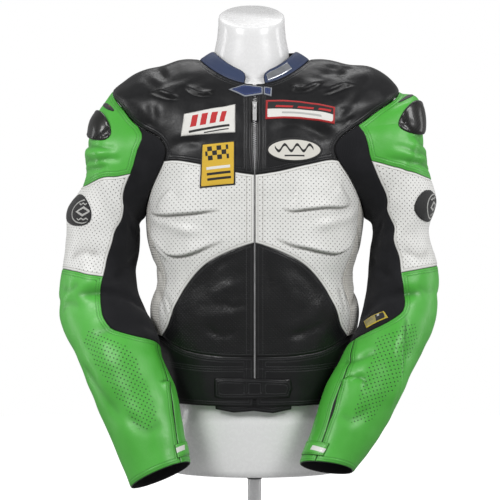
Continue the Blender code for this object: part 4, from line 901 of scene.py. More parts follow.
# A thin shell over the numbered triangles of a pattern. It rises by outer, is rolled in at its edges or
# raised there by a rim, and zone tells where its finish changes. Its UV are real lengths, by ruler or local.
def shell(name, pattern, numbers, finish, back=None, outer=0.0, wall=None, fine=2, roll=None, rim=None,
          zone=None, wrap=False, ruler=None, local=None):
    wall = wall or cloth["wall"]
    rollDeep, rollWide = roll or (cloth["roll"], cloth["rollWide"])
    used, faces = np.unique(pattern.faces[numbers], return_inverse=True)
    faces = faces.reshape(-1, 3)
    spot = {int(i): n for n, i in enumerate(used)}
    seams = [(spot[a], spot[b]) for a, b in pattern.inner if a in spot and b in spot]
    flat, faces, seams = refine(pattern.flat[used], faces, np.array(sorted(seams)).reshape(-1, 2), fine)
    if pattern.flipped:
        faces = faces[:, ::-1]
    space, ways, lift = pattern.surface(flat)
    ruled = flat.copy()
    if wrap:  # a panel that crosses the line where the pattern's two ends meet
        ruled[flat[:, 0] < 0, 0] += 2 * math.pi * pattern.round
    uv = ruler(space) if ruler else pattern.table(ruled)
    if local:  # measured from a middle point, along a given way
        ends = np.array(local)
        ends = ruler(pattern.surface(ends)[0]) if ruler else pattern.table(ends)
        way = (ends[1] - ends[0]) / norm(ends[1] - ends[0])
        uv = (uv - ends[0]) @ np.array([way, [-way[1], way[0]]]).T
    first, index, faces, joined, lone = welded(space, faces)
    points, ways, lift = space[first], ways[first], lift[first]
    count = len(points)
    rails = railsOf(lone.tolist())
    edge, along = railDistance(points, rails)
    if len(seams):  # a row of stitches lies on an inner line itself
        inner, onward = railDistance(points, railsOf([tuple(e) for e in index[seams].tolist() if e[0] != e[1]]))
        near = inner + 0.0042 < edge
        edge, along = np.where(near, inner + 0.0042, edge), np.where(near, onward, along)
    rise = outer(points) if callable(outer) else np.full(count, float(outer))
    rise = rise - rollDeep * np.exp(-((edge / rollWide) ** 2))
    if rim:
        rise = rise + rim[0] * np.exp(-(((edge - rim[1]) / rim[1]) ** 4))
    low = outer(points) * 0 if callable(outer) else np.full(count, float(outer))
    top = points + ways * rise[:, None]
    bottom = points + ways * (np.minimum(rise, low) - wall)[:, None]
    if callable(outer):
        bottom = points + ways * 0.0004
    rimFaces = np.stack([lone[:, 1], lone[:, 0], lone[:, 0] + count, lone[:, 1] + count], axis=1)
    allFaces = joined.tolist() + (joined[:, ::-1] + count).tolist() + rimFaces.tolist()
    piece = addMesh(name, np.concatenate([top, bottom]).tolist(), allFaces, finish, back or finish)
    mesh = piece.data
    layer = mesh.uv_layers.new(name="UVMap")
    rimUv = uv[first][rimFaces % count]
    flatUv = np.concatenate([uv[faces].reshape(-1, 2), uv[faces[:, ::-1]].reshape(-1, 2), rimUv.reshape(-1, 2)])
    layer.data.foreach_set("uv", flatUv.astype(np.float32).ravel())
    # relief, the lift, and crease are read by the shaders to paint shade in troughs and creases
    told = {"edge": edge, "along": along, "relief": lift, "crease": pattern.creases(flat[first])}
    if zone is not None:
        told["zone"] = zone(flat[first])
    for key, values in told.items():
        attribute = mesh.attributes.new(key, "FLOAT", "POINT")
        attribute.data.foreach_set("value", np.tile(values, 2).astype(np.float32))
    which = np.zeros(len(allFaces), np.int32)
    which[len(joined):2 * len(joined)] = 1
    mesh.polygons.foreach_set("material_index", which)
    mesh.update()
    a, b, c = (top[joined[:, i]] for i in range(3))
    area = norm(np.cross(b - a, c - a), axis=1).sum() / 2
    wide, long = flatSize(uv[first])
    grow = max(1.0, math.sqrt(area / (wide * long)))
    cuts[name] = ((wide * grow, long * grow), area)
    return piece


def finishPiece(piece, node, body="jacket_on_form"):
    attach(piece, body)
    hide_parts(node)


leastCut = 0.012  # the least side that a cut is given


def clothShell(name, node, held, restsOn, *numbers, **more):  # a shell of cut cloth, with its cut size worked out
    piece = shell(name, *numbers, **more)
    (wide, long), area = cuts[name]
    size = max(leastCut, wide), max(leastCut, long)
    min(area, size[0] * size[1])
    finishPiece(piece, node)


# Body seams as (x, z) seen from the front; those of the sides and the back as degrees and height.
yokeSeam = ((0.132, 0.632), (0.086, 0.625), (0.040, 0.614), (0.003, 0.608))
archSeam = (
    (0.003, 0.4995), (0.045, 0.484), (0.084, 0.461), (0.113, 0.427),
    (0.130, 0.396), (0.140, 0.366), (0.152, 0.347),
)
bandSeam = ((0.003, 0.317), (0.060, 0.318), (0.108, 0.325), (0.152, 0.347))
bandTurn = ((70, 0.349), (112, 0.336), (150, 0.322), (180, 0.318))
lowerBack = ((112, 0.430), (150, 0.446), (180, 0.452))
yokeBack = ((150, 0.645), (180, 0.640))
sideFront = ((66, 0.520), (63, 0.480), (60, 0.440), (63, 0.395))
sideBack = ((112, 0.520), (110, 0.430), (112, 0.336))
bandMiddle = ((1.2, 0.298), (30, 0.298), (60, 0.301), (100, 0.297), (150, 0.292), (180, 0.291))

armholeMeets = (0, 56, 112, 148, 210, 262, 305)
neckMeets = (1.9, 9.0, 10.5, 90)
# Heights of the front zip's parts, and half the gap between the fronts at the chest, below it and at the arch.
zip_ = {
    "top": 0.735, "tapeTop": 0.738, "end": 0.262, "chest": 0.618, "blend": 0.030, "arch": 0.497,
    "half": 0.0031, "meet": 0.0009, "low": 0.0015, "tapeHalf": 0.013, "points": 48,
}


def zipHalf(z):  # the fronts part over the teeth at the chest and meet below
    half = zip_["low"] if z < zip_["arch"] else zip_["meet"]
    return half + (zip_["half"] - half) * min(1, max(0, (z - zip_["chest"]) / zip_["blend"]))


# What is sewn on the front, as corners (x, z) in millimetres.
sewnOn = {
    "patch_white": ((-113, 706), (-31, 722), (-31, 676), (-118, 670)),
    "patch_yellow": ((-85, 658), (-31, 663), (-31, 592), (-87, 587)),
    "patch_red_bar": (
        (18, 729), (45, 729), (74, 727), (102, 723), (129, 717),
        (128, 690), (101, 695), (74, 698), (45, 699), (17, 697),
    ),
    "neck_tab": ((-42, 746), (-18, 755), (13, 751), (13, 739), (-16, 734)),
    "neck_tab_end": ((14.5, 751.5), (28, 749), (27, 735), (14.5, 738.5)),
    "belt_strap": (
        (-64, 282), (-50, 284), (57, 281), (60, 266),
        (55, 251), (-50, 249), (-64, 252),
    ),
    "hem_flap": (
        (-66, 250), (62, 250), (60, 231.5), (30, 226.2),
        (-2, 230), (-34, 227), (-64, 232),
    ),
}
ovalPatch = (0.063, 0.6475, 0.045, 0.020)  # middle and half its width and height
overlayStep, ovalPoints = 0.006, 40

sleeveSeams = {
    "r": {
        "stretchOuter": (
            (56, 0), (66, 0.12), (84, 0.42), (104, 0.66), (117, 1.15), (117, 3.2), (108, 5.15),
            (105, 6.3), (100, 6.9), (94, 7.55), (89, 8.2), (86, 8.75), (90, 9.1), (102, 9.3),
            (126, 9.5), (164, 9.55), (200, 9.5),
        ),
        "capEnd": (
            (104, 0.66), (98, 0.95), (80, 1.9), (56, 2.6), (26, 3.05), (-20, 3.05), (-60, 2.8), (-98, 2.2),
        ),
        "whiteEnd": ((103, 6.6), (84, 6.5), (60, 6.25), (18, 5.95), (-80, 5.95), (-150, 6.1)),
        "cuffZip": ((166, 9.53), (163, 10.2), (154, 10.95), (150, 11.85), (139, 13)),
    },
    "l": {
        "stretchOuter": (
            (56, 0), (64, 0.18), (78, 0.35), (96, 0.5), (114, 0.72), (123, 1.2), (121, 2.7),
            (112, 4.15), (102, 5.6), (98, 6.75), (92, 7.4), (86, 8.0), (85, 8.4), (93, 8.68),
            (110, 9.0), (154, 9.35), (200, 9.35),
        ),
        "capEnd": (
            (96, 0.5), (93, 0.85), (85, 1.35), (70, 2.05), (42, 2.7), (10, 3.0), (-60, 2.8), (-98, 2.2),
        ),
        "whiteEnd": ((98, 6.55), (78, 6.45), (56, 6.3), (10, 6.05), (-80, 5.95), (-150, 6.1)),
        "cuffZip": ((158, 9.35), (146, 9.9), (133, 10.6), (130, 11.45), (128, 12.1), (121, 13)),
    },
}
underarmAngle, backAngle, cuffEnd = -150, -8, 13
girths, elbowAlong = {"hem": 0.82, "neck": 0.085 * 2 * math.pi, "arm": 0.43, "forearm": 0.39, "cuff": 0.31}, 0.42
cuffLining = 0.050
slit = {"r": 0.0007, "l": 0.0020}  # how far the forearm's zip gapes at its middle

# Ovals on a sleeve: middle, way to the inner end, way to the lower end (angle, ring).
sleeveOvals = {
    "r": {
        "cap_cup": ((31, 0.92), (19, -0.32), (22, 0.15)),
        "cap_label": ((19, 0.37), (11, -0.12), (4, 0.06)),
        "emblem": ((41, 3.95), (30, -0.22), (14, 0.52)),
    },
    "l": {
        "cap_cup": ((33, 0.86), (17, -0.30), (17, 0.15)),
        "cap_label": ((14, 0.30), (8, -0.12), (4, 0.06)),
        "emblem": ((44, 4.08), (32, -0.28), (-4, 0.60)),
    },
}
cuffTabs = {
    "r": ((134, 12.62), (176, 12.55), (176, 12.85), (134, 12.90)),
    "l": ((108, 12.60), (172, 12.55), (172, 12.85), (108, 12.88)),
}
yellowLabel = ((150, 8.65), (114, 8.45), (104, 8.72), (136, 9.05))
# Where the forearm's leather is punched with holes.
punched = {
    "r": ((60, 8.9), (86, 9.4), (112, 9.95), (116, 12.0), (98, 12.2), (80, 12.1), (62, 10.8), (46, 9.25)),
    "l": ((108, 9.5), (84, 9.05), (56, 8.65), (42, 9.15), (52, 11.05), (58, 11.9), (90, 12.05), (102, 10.25)),
}


def armholeAngles(side):
    angles = []
    meets = armholeMeets + (armholeMeets[0] + 360,)
    for a, b in zip(meets, meets[1:]):
        places = bodySurface(armholeFlats(side, np.linspace(a, b, 9)))[0]
        length = norm(np.diff(places, axis=0), axis=1).sum()
        count = max(1, round(length / cloth["edgeStep"]))
        angles.extend(a + (b - a) * i / count for i in range(count))
    return angles


def neckTurns():
    half = [0.0]
    for a, b in zip((0.0,) + neckMeets, neckMeets + (180.0,)):
        count = max(1, round((b - a) / 360 * girths["neck"] / cloth["edgeStep"]))
        half.extend(a + (b - a) * (i + 1) / count for i in range(count))
    return [-turn for turn in reversed(half)] + half[1:]


def oval(middle, across, down):  # points of an oval from its middle and the ways to two of its ends
    turns = np.linspace(0, 2 * math.pi, ovalPoints, endpoint=False)
    return [middle + math.cos(t) * across + math.sin(t) * down for t in turns]


def ringRows(highest, roundAt, spread):
    points = []
    count = round(highest / (cloth["step"] * 0.87))
    for i in range(1, count):
        along = highest * i / count
        places = max(8, round(roundAt(along) / cloth["step"]))
        points += [np.array([((k + 0.5 * (i % 2)) / places - 0.5) * spread, along]) for k in range(places)]
    return points


def both(side, points):
    return [frontFlat(sideSign(side) * x, z) for x, z in points]


def turned(side, points):
    return [bodyFlat(sideSign(side) * turn, z) for turn, z in points]


def bodyPattern():
    spread = 2 * math.pi * cloth["bodyRound"]
    across = np.radians(np.arange(-180, 361, 3.0)) * cloth["bodyRound"]
    table = Ruler(lambda flat: bodyBase(np.degrees(flat[:, 0] / cloth["bodyRound"]), flat[:, 1]),
                  across, np.linspace(0, topLevel, 60), 0.0)
    pattern = Pattern(bodySurface, table, cloth["bodyRound"])
    pattern.seam([arc(turn, topLevel) for turn in neckTurns()], snap=False)
    for level in (0.0, hemLevel):
        pattern.row(spread, level, round(girths["hem"] / cloth["edgeStep"]), seam=level > 0)
    pattern.sides(spread, topLevel)
    for way in (-1, 1):
        line = [arc(way * neckMeets[0], topLevel)]
        line += [frontFlat(way * zipHalf(z), z) for z in np.linspace(zip_["top"], zip_["end"], zip_["points"])]
        pattern.seam(line + [np.array([line[-1][0], hemLevel])])
    heights = np.linspace(zip_["tapeTop"], zip_["end"], zip_["points"])
    for x in (-zip_["tapeHalf"], 0, zip_["tapeHalf"]):
        (pattern.stitch if x else pattern.guide)([frontFlat(x, z) for z in heights])
    for side in ("r", "l"):
        bodySeams(pattern, side)
    pattern.joinEnds()
    pattern.creases = bodyCreases
    for name, rows in sewnOn.items():
        pattern.overlay(name, [frontFlat(*p) for p in straight(np.array(rows) / 1000, overlayStep, True)])
    x, z, halfX, halfZ = ovalPatch
    places = oval(np.array([x, z]), np.array([halfX, 0]), np.array([0, halfZ]))
    pattern.overlay("patch_oval", [frontFlat(*place) for place in places])
    pattern.seamRows()
    pattern.scatter(ringRows(topLevel, lambda level: 4.1 * bodyBase([90.0], [level])[0, 0] + 0.1, spread))
    pattern.weave()
    return pattern


def bodySeams(pattern, side):
    sign = sideSign(side)
    band = both(side, bandSeam)
    pattern.seam([armholeFlat(side, angle) for angle in armholeAngles(side)], closed=True)
    pattern.seam(curve([armholeFlat(side, 112)] + both(side, yokeSeam)))
    pattern.seam(curve(both(side, archSeam)))
    pattern.seam(curve(band))
    pattern.seam(curve([band[-1]] + turned(side, bandTurn)))
    pattern.stitch(curve(turned(side, bandMiddle)))
    pattern.seam(curve(turned(side, lowerBack)))
    pattern.seam(curve([armholeFlat(side, 262)] + turned(side, yokeBack)))
    pattern.seam(curve([armholeFlat(side, 148)] + turned(side, sideFront) + [band[-1]]))
    pattern.seam(curve([armholeFlat(side, 210)] + turned(side, sideBack)))
    turn, height = sideBack[-1]
    pattern.seam(straight([bodyFlat(sign * turn, height), arc(sign * turn, hemLevel)]))
    pattern.seam(straight([arc(sign * 90, topLevel), armholeFlat(side, 0)]))


def sleevePattern(side):
    sleeve = Sleeve(side)
    spread = 2 * math.pi * cloth["sleeveRound"]
    pattern = Pattern(sleeve.surface, None, cloth["sleeveRound"], flipped=side == "r")
    angles = sorted(angle - 360 if angle > 180 else angle for angle in armholeAngles(side))
    top = [sleeve.flat(angle, 0) for angle in angles]
    if angles[0] > -180:
        top.insert(0, sleeve.flat(-180, 0))
    if angles[-1] < 180:
        top.append(sleeve.flat(180, 0))
    pattern.guide(top)
    pattern.creases = sleeve.creases
    for level in (sleeve.long, sleeve.long - cuffLining):
        pattern.row(spread, level, round(girths["cuff"] / cloth["edgeStep"]))
    pattern.sides(spread, sleeve.long)
    sleeveLines(pattern, sleeve, spread / 2)
    for name, (middle, inward, down) in sleeveOvals[side].items():
        centre = sleeve.flat(*middle)
        ways = (sleeve.flat(*np.add(middle, way)) - centre for way in (inward, down))
        pattern.overlay(name, oval(centre, *ways))
    corners = [sleeve.flat(*corner) for corner in cuffTabs[side]]
    pattern.overlay("cuff_tab", straight(corners, overlayStep, True))
    if side == "l":
        corners = [sleeve.flat(*corner) for corner in yellowLabel]
        pattern.overlay("label_yellow", straight(corners, overlayStep, True))
    pattern.seamRows()
    pattern.scatter(ringRows(sleeve.long, lambda at: girths["arm" if at < elbowAlong else "forearm"], spread))
    pattern.weave()
    return sleeve, pattern


def sleeveLines(pattern, sleeve, edge):
    def line(rows):
        return [sleeve.flat(angle, ring) for angle, ring in rows]

    seams = sleeveSeams[sleeve.side]
    stretch = curve(line(seams["stretchOuter"]))
    lowest = stretch[-1][1]
    pattern.seam([p for p in stretch if p[0] <= edge - 0.001] + [np.array([edge, lowest])], snap=False)
    under = straight(line(((underarmAngle, 0), (underarmAngle, cuffEnd))))
    pattern.seam(under)
    pattern.seam([np.array([-edge, lowest]), np.array([under[0][0], lowest])])
    pattern.seam(curve(line(seams["capEnd"] + ((-98, 0),))))
    pattern.seam(curve(line(seams["whiteEnd"])))
    pattern.seam(straight(line(((backAngle, 6.0), (backAngle, cuffEnd)))))
    for way in (-1, 1):
        path = curve(line(seams["cuffZip"]))
        shares = np.linspace(0, 1, len(path))
        parted = 0.0004 + slit[sleeve.side] * np.exp(-(((shares - 0.60) / 0.075) ** 4))
        pattern.seam([point + [way * half, 0] for point, half in zip(path, parted)])
    pattern.joinEnds(0.009)


# The collar rises to an oval of its own, and its front corners are rounded.
collarPlan = {
    "rise": 0.028, "corner": 0.020, "cornerLow": 0.45, "rows": 6, "half": 0.0688, "middle": 0.004,
    "ahead": 0.066, "behind": 0.064, "height": 0.818, "dipAhead": -0.040, "liftBehind": 0.006, "bow": 0.25,
}
plateCorners = ((14, 0.004), (45, 0.006), (45, 0.021), (14, 0.020))  # degrees from the centre front and rise


def collarPattern():
    half = neckMeets[2]
    turns = [turn if turn > 0 else turn + 360 for turn in neckTurns() if abs(turn) >= half - 1e-9]
    turns = sorted(set(round(turn, 9) for turn in turns))

    def place(flat):
        turn = np.degrees(flat[:, 0] / cloth["bodyRound"])
        fromEnd = np.minimum(turn - half, 360 - half - turn) * girths["neck"] / 360 / collarPlan["corner"]
        low = collarPlan["cornerLow"]
        corner = low + (1 - low) * np.sqrt(1 - (1 - np.clip(fromEnd, 0, 1)) ** 2)
        turn = np.where(turn > 180, turn - 360, turn)
        foot = bodySurface(np.stack([np.radians(turn) * cloth["bodyRound"], np.full(len(turn), topLevel)], 1))[0]
        angle = np.radians(turn)
        ahead = np.cos(angle) > 0
        depth = np.where(ahead, collarPlan["ahead"], collarPlan["behind"])
        turning = np.where(ahead, collarPlan["dipAhead"], collarPlan["liftBehind"])
        head = np.stack([collarPlan["half"] * np.sin(angle), collarPlan["middle"] - depth * np.cos(angle),
                         collarPlan["height"] + turning * np.cos(angle) ** 2], axis=1)
        rise = (flat[:, 1] / collarPlan["rise"] * corner)[:, None]
        stand = np.sin(rise * math.pi / 2) * collarPlan["bow"] + rise * (1 - collarPlan["bow"])
        lifted = foot * (1 - rise) + head * rise
        lifted[:, 2:] = foot[:, 2:] + (head - foot)[:, 2:] * stand
        return lifted

    def surface(flat):
        here = place(flat)
        across = place(flat + [1e-4, 0]) - place(flat - [1e-4, 0])
        way = np.where(flat[:, 1] < collarPlan["rise"] / 2, 1, -1)
        up = (place(flat + np.outer(way, [0, 1e-4])) - here) * way[:, None]
        normal = np.cross(across, up)
        normal /= norm(normal, axis=1)[:, None]
        return here, normal, np.zeros(len(flat))

    low, high = (arc(turns[i], 0)[0] for i in (0, -1))
    back = math.pi * cloth["bodyRound"]
    table = Ruler(place, np.linspace(low, high, 90), np.linspace(0, collarPlan["rise"], 8), back)
    pattern = Pattern(surface, table, cloth["bodyRound"])
    rises = np.linspace(0, collarPlan["rise"], collarPlan["rows"])
    for rise in rises:
        pattern.guide([arc(turn, rise) for turn in turns])
    for end in (low, high):
        pattern.guide([np.array([end, rise]) for rise in rises])
    pattern.overlay("collar_plate", straight([arc(*corner) for corner in plateCorners], 0.005, True))
    pattern.weave()
    return pattern


class Wire:
    # a socket that can be used in sums
    def __init__(self, paint, socket):
        self.paint, self.socket = paint, socket

    def __rsub__(self, other):
        return self.paint.maths("SUBTRACT", other, self)


wireMaths = {
    "__add__": "ADD", "__radd__": "ADD", "__mul__": "MULTIPLY", "__rmul__": "MULTIPLY", "__sub__": "SUBTRACT",
    "__truediv__": "DIVIDE", "__abs__": "ABSOLUTE", "fraction": "FRACT", "root": "SQRT", "least": "MINIMUM",
}
for method, operation in wireMaths.items():
    setattr(Wire, method, lambda self, *others, operation=operation: self.paint.maths(operation, self, *others))


class Paint:
    # one material and its nodes
    def __init__(self, name, **constants):
        self.material = bpy.data.materials.new(name)
        self.material.use_nodes = True
        self.tree = self.material.node_tree
        self.shader = self.tree.nodes["Principled BSDF"]
        self.found = {}
        for socket, value in constants.items():
            self.shader.inputs[socket.replace("_", " ")].default_value = value

    def plug(self, socket, value):
        if isinstance(value, Wire):
            self.tree.links.new(value.socket, socket)
        else:
            socket.default_value = value

    def node(self, kind, settings=(), values=(), out=0):
        made = self.tree.nodes.new("ShaderNode" + kind)
        for name, value in dict(settings).items():
            setattr(made, name, value)
        for name, value in dict(values).items():
            self.plug(made.inputs[name], value)
        return Wire(self, made.outputs[out])

    def maths(self, operation, *values):
        return self.node("Math", {"operation": operation}, dict(enumerate(values)))

    def keep(self, key, make):
        if key not in self.found:
            self.found[key] = make()
        return self.found[key]

    def attribute(self, name):
        return self.keep(name, lambda: self.node("Attribute", {"attribute_name": name}, out=2))

    def uv(self):
        def split():
            both = self.node("UVMap", {"uv_map": "UVMap"})
            return [self.node("SeparateXYZ", values={0: both}, out=n) for n in (0, 1)]

        return self.keep("uv", split)

    def place(self):
        return self.keep("place", lambda: self.node("TexCoord", out=3))

    def noise(self, scale, detail=3.0, rough=0.5, where=None):
        values = {"Vector": where or self.place(), "Scale": scale, "Detail": detail, "Roughness": rough}
        return self.node("TexNoise", values=values)

    def cells(self, scale):
        return self.node("TexVoronoi", values={"Vector": self.place(), "Scale": scale})

    def step(self, value, low, high):
        values = {"Value": value, "From Min": low, "From Max": high, "To Min": 0.0, "To Max": 1.0}
        return self.node("MapRange", {"interpolation_type": "SMOOTHSTEP"}, values)

    def mix(self, share, low, high):
        return self.node("Mix", {"data_type": "RGBA"}, {0: share, 6: low, 7: high}, out=2)

    def give(self, socket, value):
        self.plug(self.shader.inputs[socket], value)

    def done(self, colour, rough, height):
        self.give("Base Color", colour)
        self.give("Roughness", rough)
        self.give("Normal", self.node("Bump", values={"Height": height, "Distance": 1.0, "Strength": 1.0}))
        return self.material

    def pleats(self, value, pitch):  # from 1 at each multiple of the pitch down to 0 halfway between
        return abs((value / pitch).fraction() - 0.5) * 2

    def holes(self, pitch, radius, soft):  # staggered rows of small round holes
        u, v = self.uv()
        a, b = u / pitch, v / pitch
        found = None
        for shift in (0.0, 0.5):
            x, y = (a + shift).fraction() - 0.5, (b + shift).fraction() - 0.5
            away = (x * x + y * y).root() * pitch
            found = away if found is None else found.least(away)
        return 1 - self.step(found, radius - soft, radius + soft)

    def stitches(self, distance, pitch=0.0034, wide=0.00045):  # a row of thread along a seam, and its furrow
        edge, along = self.attribute("edge"), self.attribute("along")
        off = abs(edge - distance)
        dash = self.step(abs((along / pitch).fraction() - 0.5), 0.40, 0.30)
        return (1 - self.step(off, wide * 0.6, wide * 1.3)) * dash, 1 - self.step(off, 0.0, 0.0018)


def shadeOf(colour, factor):
    return tuple(c * factor for c in colour[:3]) + (1,)


# dark is the colour of painted shade in troughs, creases, seams, pleats and stitch furrows, and of the pores; seam
# sets the strength of the painted shade at the seams.
def leather(name, colour, dark, light, rough, coat=0.0, rows=(0.0042,), thread=None,
            holes=None, zoned=False, wrinkle=1.0, calm=0.004, seam=1.0, specular=0.5, ribs=0.0):
    paint = Paint(name, Coat_Weight=coat, Coat_Roughness=0.28, Specular_IOR_Level=specular)
    edge, relief, crease = paint.attribute("edge"), paint.attribute("relief"), paint.attribute("crease")
    cloudy = paint.noise(7.0, 4.0, 0.55)
    pores = paint.cells(820.0)
    fine = paint.noise(210.0, 4.0, 0.6)
    waves = paint.noise(46.0, 3.0, 0.6)
    tone = paint.mix(paint.step(cloudy, 0.35, 0.68), colour, light)
    # painted shade: darker where the cloth lies low in a trough
    tone = paint.mix(paint.step(relief, -0.0010, -0.0060) * (0.12 if zoned else 0.3), tone, dark)
    tone = paint.mix((1 - paint.step(pores, 0.05, 0.55)) * 0.12, tone, dark)
    # painted shade along the sharp line of each fold
    tone = paint.mix(crease * 0.75, tone, shadeOf(dark, 0.6))
    # painted shade at the seams, where the edges roll in
    tone = paint.mix((1 - paint.step(edge, 0.0002, 0.0016)) * seam, tone, shadeOf(dark, 0.35))
    height = fine * (0.00012 * wrinkle) + waves * (0.00030 * wrinkle) + pores * 0.00003
    if ribs:  # fine pleats that let the panel stretch
        pleat = paint.pleats(paint.uv()[1] + waves * 0.002, ribs)
        # painted shade in the pleats' valleys
        tone = paint.mix((1 - paint.step(pleat, 0.0, 0.5)) * 0.16, tone, dark)
        height = height + pleat * 0.0005
    for distance in rows:
        row, furrow = paint.stitches(distance)
        # painted shade in the stitches' furrow
        tone = paint.mix(furrow * 0.16, tone, dark)
        tone = paint.mix(row * 0.85, tone, thread or dark)
        height = height + row * 0.00022 - furrow * 0.00030
    if holes:
        pitch, radius, inner = holes
        punch = paint.holes(pitch, radius, radius * 0.35)
        mask = paint.attribute("zone") if zoned else paint.step(edge, calm, calm + 0.0006)
        if zoned:
            mask = paint.step(mask, 0.45, 0.55)
        punch = punch * mask
        tone = paint.mix(punch * 0.9, tone, inner)
        height = height - punch * 0.00035
    return paint.done(tone, paint.step(fine, 0.2, 0.9) * 0.14 + (rough - 0.05) + paint.step(waves, 0.3, 0.7) * 0.06,
                      height)


def stretchTextile(name):
    paint = Paint(name, Sheen_Weight=0.08, Sheen_Roughness=0.4, Specular_IOR_Level=0.25)
    u, v = paint.uv()
    ribs = paint.pleats(u, 0.0011)
    knit = abs(((v / 0.0009) + paint.step(ribs, 0.4, 0.6) * 0.5).fraction() - 0.5) * 2
    soft = paint.noise(24.0, 4.0, 0.6)
    tone = paint.mix(ribs * 0.5 + knit * 0.3, (0.0045, 0.0047, 0.0060, 1), (0.013, 0.013, 0.0155, 1))
    tone = paint.mix(paint.step(soft, 0.4, 0.75) * 0.5, tone, (0.018, 0.018, 0.021, 1))
    edge = paint.attribute("edge")
    # painted shade at the seams
    tone = paint.mix(1 - paint.step(edge, 0.0002, 0.0016), tone, (0.003, 0.003, 0.003, 1))
    return paint.done(tone, paint.step(knit, 0.0, 1.0) * 0.12 + 0.78,
                      ribs * 0.00016 + knit * 0.00008 + soft * 0.0006)


def darkLining(name):
    paint = Paint(name)
    u, v = paint.uv()
    twill = paint.pleats(u + v, 0.0012)
    soft = paint.noise(40.0)
    tone = paint.mix(twill * 0.6 + soft * 0.3, (0.004, 0.004, 0.0045, 1), (0.016, 0.016, 0.018, 1))
    return paint.done(tone, soft * 0.2 + 0.75, twill * 0.0001)


finishes = {
    "white": leather("whiteLeather", (0.76, 0.76, 0.735, 1), (0.24, 0.225, 0.20, 1), (0.82, 0.82, 0.80, 1), 0.42,
                     thread=(0.42, 0.40, 0.36, 1), holes=(0.0082, 0.00086, (0.07, 0.066, 0.062, 1)), seam=0.75),
    "pleated": leather("pleatedLeather", (0.66, 0.64, 0.59, 1), (0.24, 0.215, 0.18, 1), (0.76, 0.75, 0.71, 1), 0.5,
                       thread=(0.40, 0.38, 0.34, 1), seam=0.45, ribs=0.0040),
    "green": leather("greenLeather", (0.064, 0.40, 0.036, 1), (0.020, 0.17, 0.014, 1),
                     (0.090, 0.48, 0.058, 1), 0.40, rows=(0.0040, 0.0082), thread=(0.045, 0.25, 0.03, 1), coat=0.08,
                     holes=(0.0087, 0.00112, (0.003, 0.014, 0.003, 1)), zoned=True),
    "black": leather("blackLeather", (0.0052, 0.0052, 0.0060, 1), (0.0018, 0.0018, 0.0021, 1),
                     (0.009, 0.009, 0.0102, 1), 0.35, rows=(0.0040, 0.0080), thread=(0.034, 0.034, 0.038, 1),
                     wrinkle=1.1, specular=0.34),
    "arch": leather("archLeather", (0.0042, 0.0042, 0.0048, 1), (0.0012, 0.0012, 0.0014, 1),
                    (0.008, 0.008, 0.0092, 1), 0.32, thread=(0.04, 0.04, 0.043, 1), wrinkle=3.4, specular=0.40,
                    holes=(0.0060, 0.0008, (0.0010, 0.0010, 0.0010, 1))),
    "blue": leather("blueLeather", (0.019, 0.031, 0.078, 1), (0.007, 0.011, 0.034, 1),
                    (0.036, 0.053, 0.112, 1), 0.46, thread=(0.05, 0.07, 0.15, 1), specular=0.34),
    "textile": stretchTextile("stretchTextile"),
    "lining": darkLining("darkLining"),
}
print("finishes ready")

body = bodyPattern()
sleeves = {side: sleevePattern(side) for side in ("r", "l")}
collar = collarPattern()
print("patterns woven:", len(body.faces), [len(s[1].faces) for s in sleeves.values()], len(collar.faces))

finest = ("front", "cap")  # the panels whose points lie closest
# Panels of the body: a place on each, in degrees and height, its finish and whether there are two of it.
bodyPanels = {
    "yoke_front": ((30, 0.660), "black", True),
    "front": ((25, 0.560), "white", True),
    "arch": ((15, 0.400), "arch", True),
    "side": ((90, 0.450), "pleated", True),
    "waistband": ((45, 0.300), "black", True),
    "waistband_back": ((175, 0.280), "black", False),
    "back_lower": ((170, 0.380), "black", False),
    "back_middle": ((170, 0.560), "white", False),
    "yoke_back": ((170, 0.700), "black", False),
}
for name, ((turn, height), finish, paired) in bodyPanels.items():
    for side in ("r", "l") if paired else ("",):
        seeds = [bodyFlat(sign * turn, height) for sign in ((sideSign(side),) if paired else (-1, 1))]
        full = f"{name}_{side}" if paired else name
        clothShell("cloth_" + full, full, "draped", "dress_form", body, body.panel(seeds), finishes[finish],
                   finishes["lining"], fine=3 if name in finest else 2, wrap=not paired)
print("body cut:", len(made), "panels")

sleevePanels = {
    "cap": ((20, 1.6), "green"),
    "upper_sleeve": ((20, 5.0), "white"),
    "stretch_panel": ((130, 4.0), "textile"),
    "forearm_front": ((70, 10.0), "green"),
    "forearm_inner": ((175, 11), "green"),
    "forearm_back": ((-70, 9.0), "black"),
}


def punchedZone(side, sleeve):
    outline = [sleeve.flat(*corner) for corner in punched[side]]
    return lambda flat: inside(flat, outline).astype(float)


for side, (sleeve, pattern) in sleeves.items():
    for name, ((angle, ring), finish) in sleevePanels.items():
        seeds = [sleeve.flat(angle, ring)]
        if name in ("stretch_panel", "forearm_inner"):  # these go on past the pattern's end
            seeds.append(sleeve.flat(-165, ring))
        full = f"{name}_{side}"
        zone = punchedZone(side, sleeve) if name == "forearm_front" else lambda flat: np.zeros(len(flat))
        ruler = sleeve.fore if name.startswith("forearm") else sleeve.upper
        clothShell("cloth_" + full, full, "hung", "dress_form", pattern, pattern.panel(seeds), finishes[finish],
                   finishes["lining"], fine=3 if name in finest else 2, zone=zone, ruler=ruler)
print("sleeves cut:", len(made), "panels")

clothShell("cloth_collar", "collar", "draped", "dress_form", collar, range(len(collar.faces)), finishes["blue"],
           finishes["lining"], wall=0.0022)


def bar(paint, left, right, low, high, soft=0.00025, slant=0.0, bow=0.0):  # a filled bar in a patch's own measure
    u, v = paint.uv()
    v = v + u * u * bow if bow else v
    u = u - v * slant if slant else u
    across = paint.step(u, left - soft, left + soft) * (1 - paint.step(u, right - soft, right + soft))
    return across * paint.step(v, low - soft, low + soft) * (1 - paint.step(v, high - soft, high + soft))


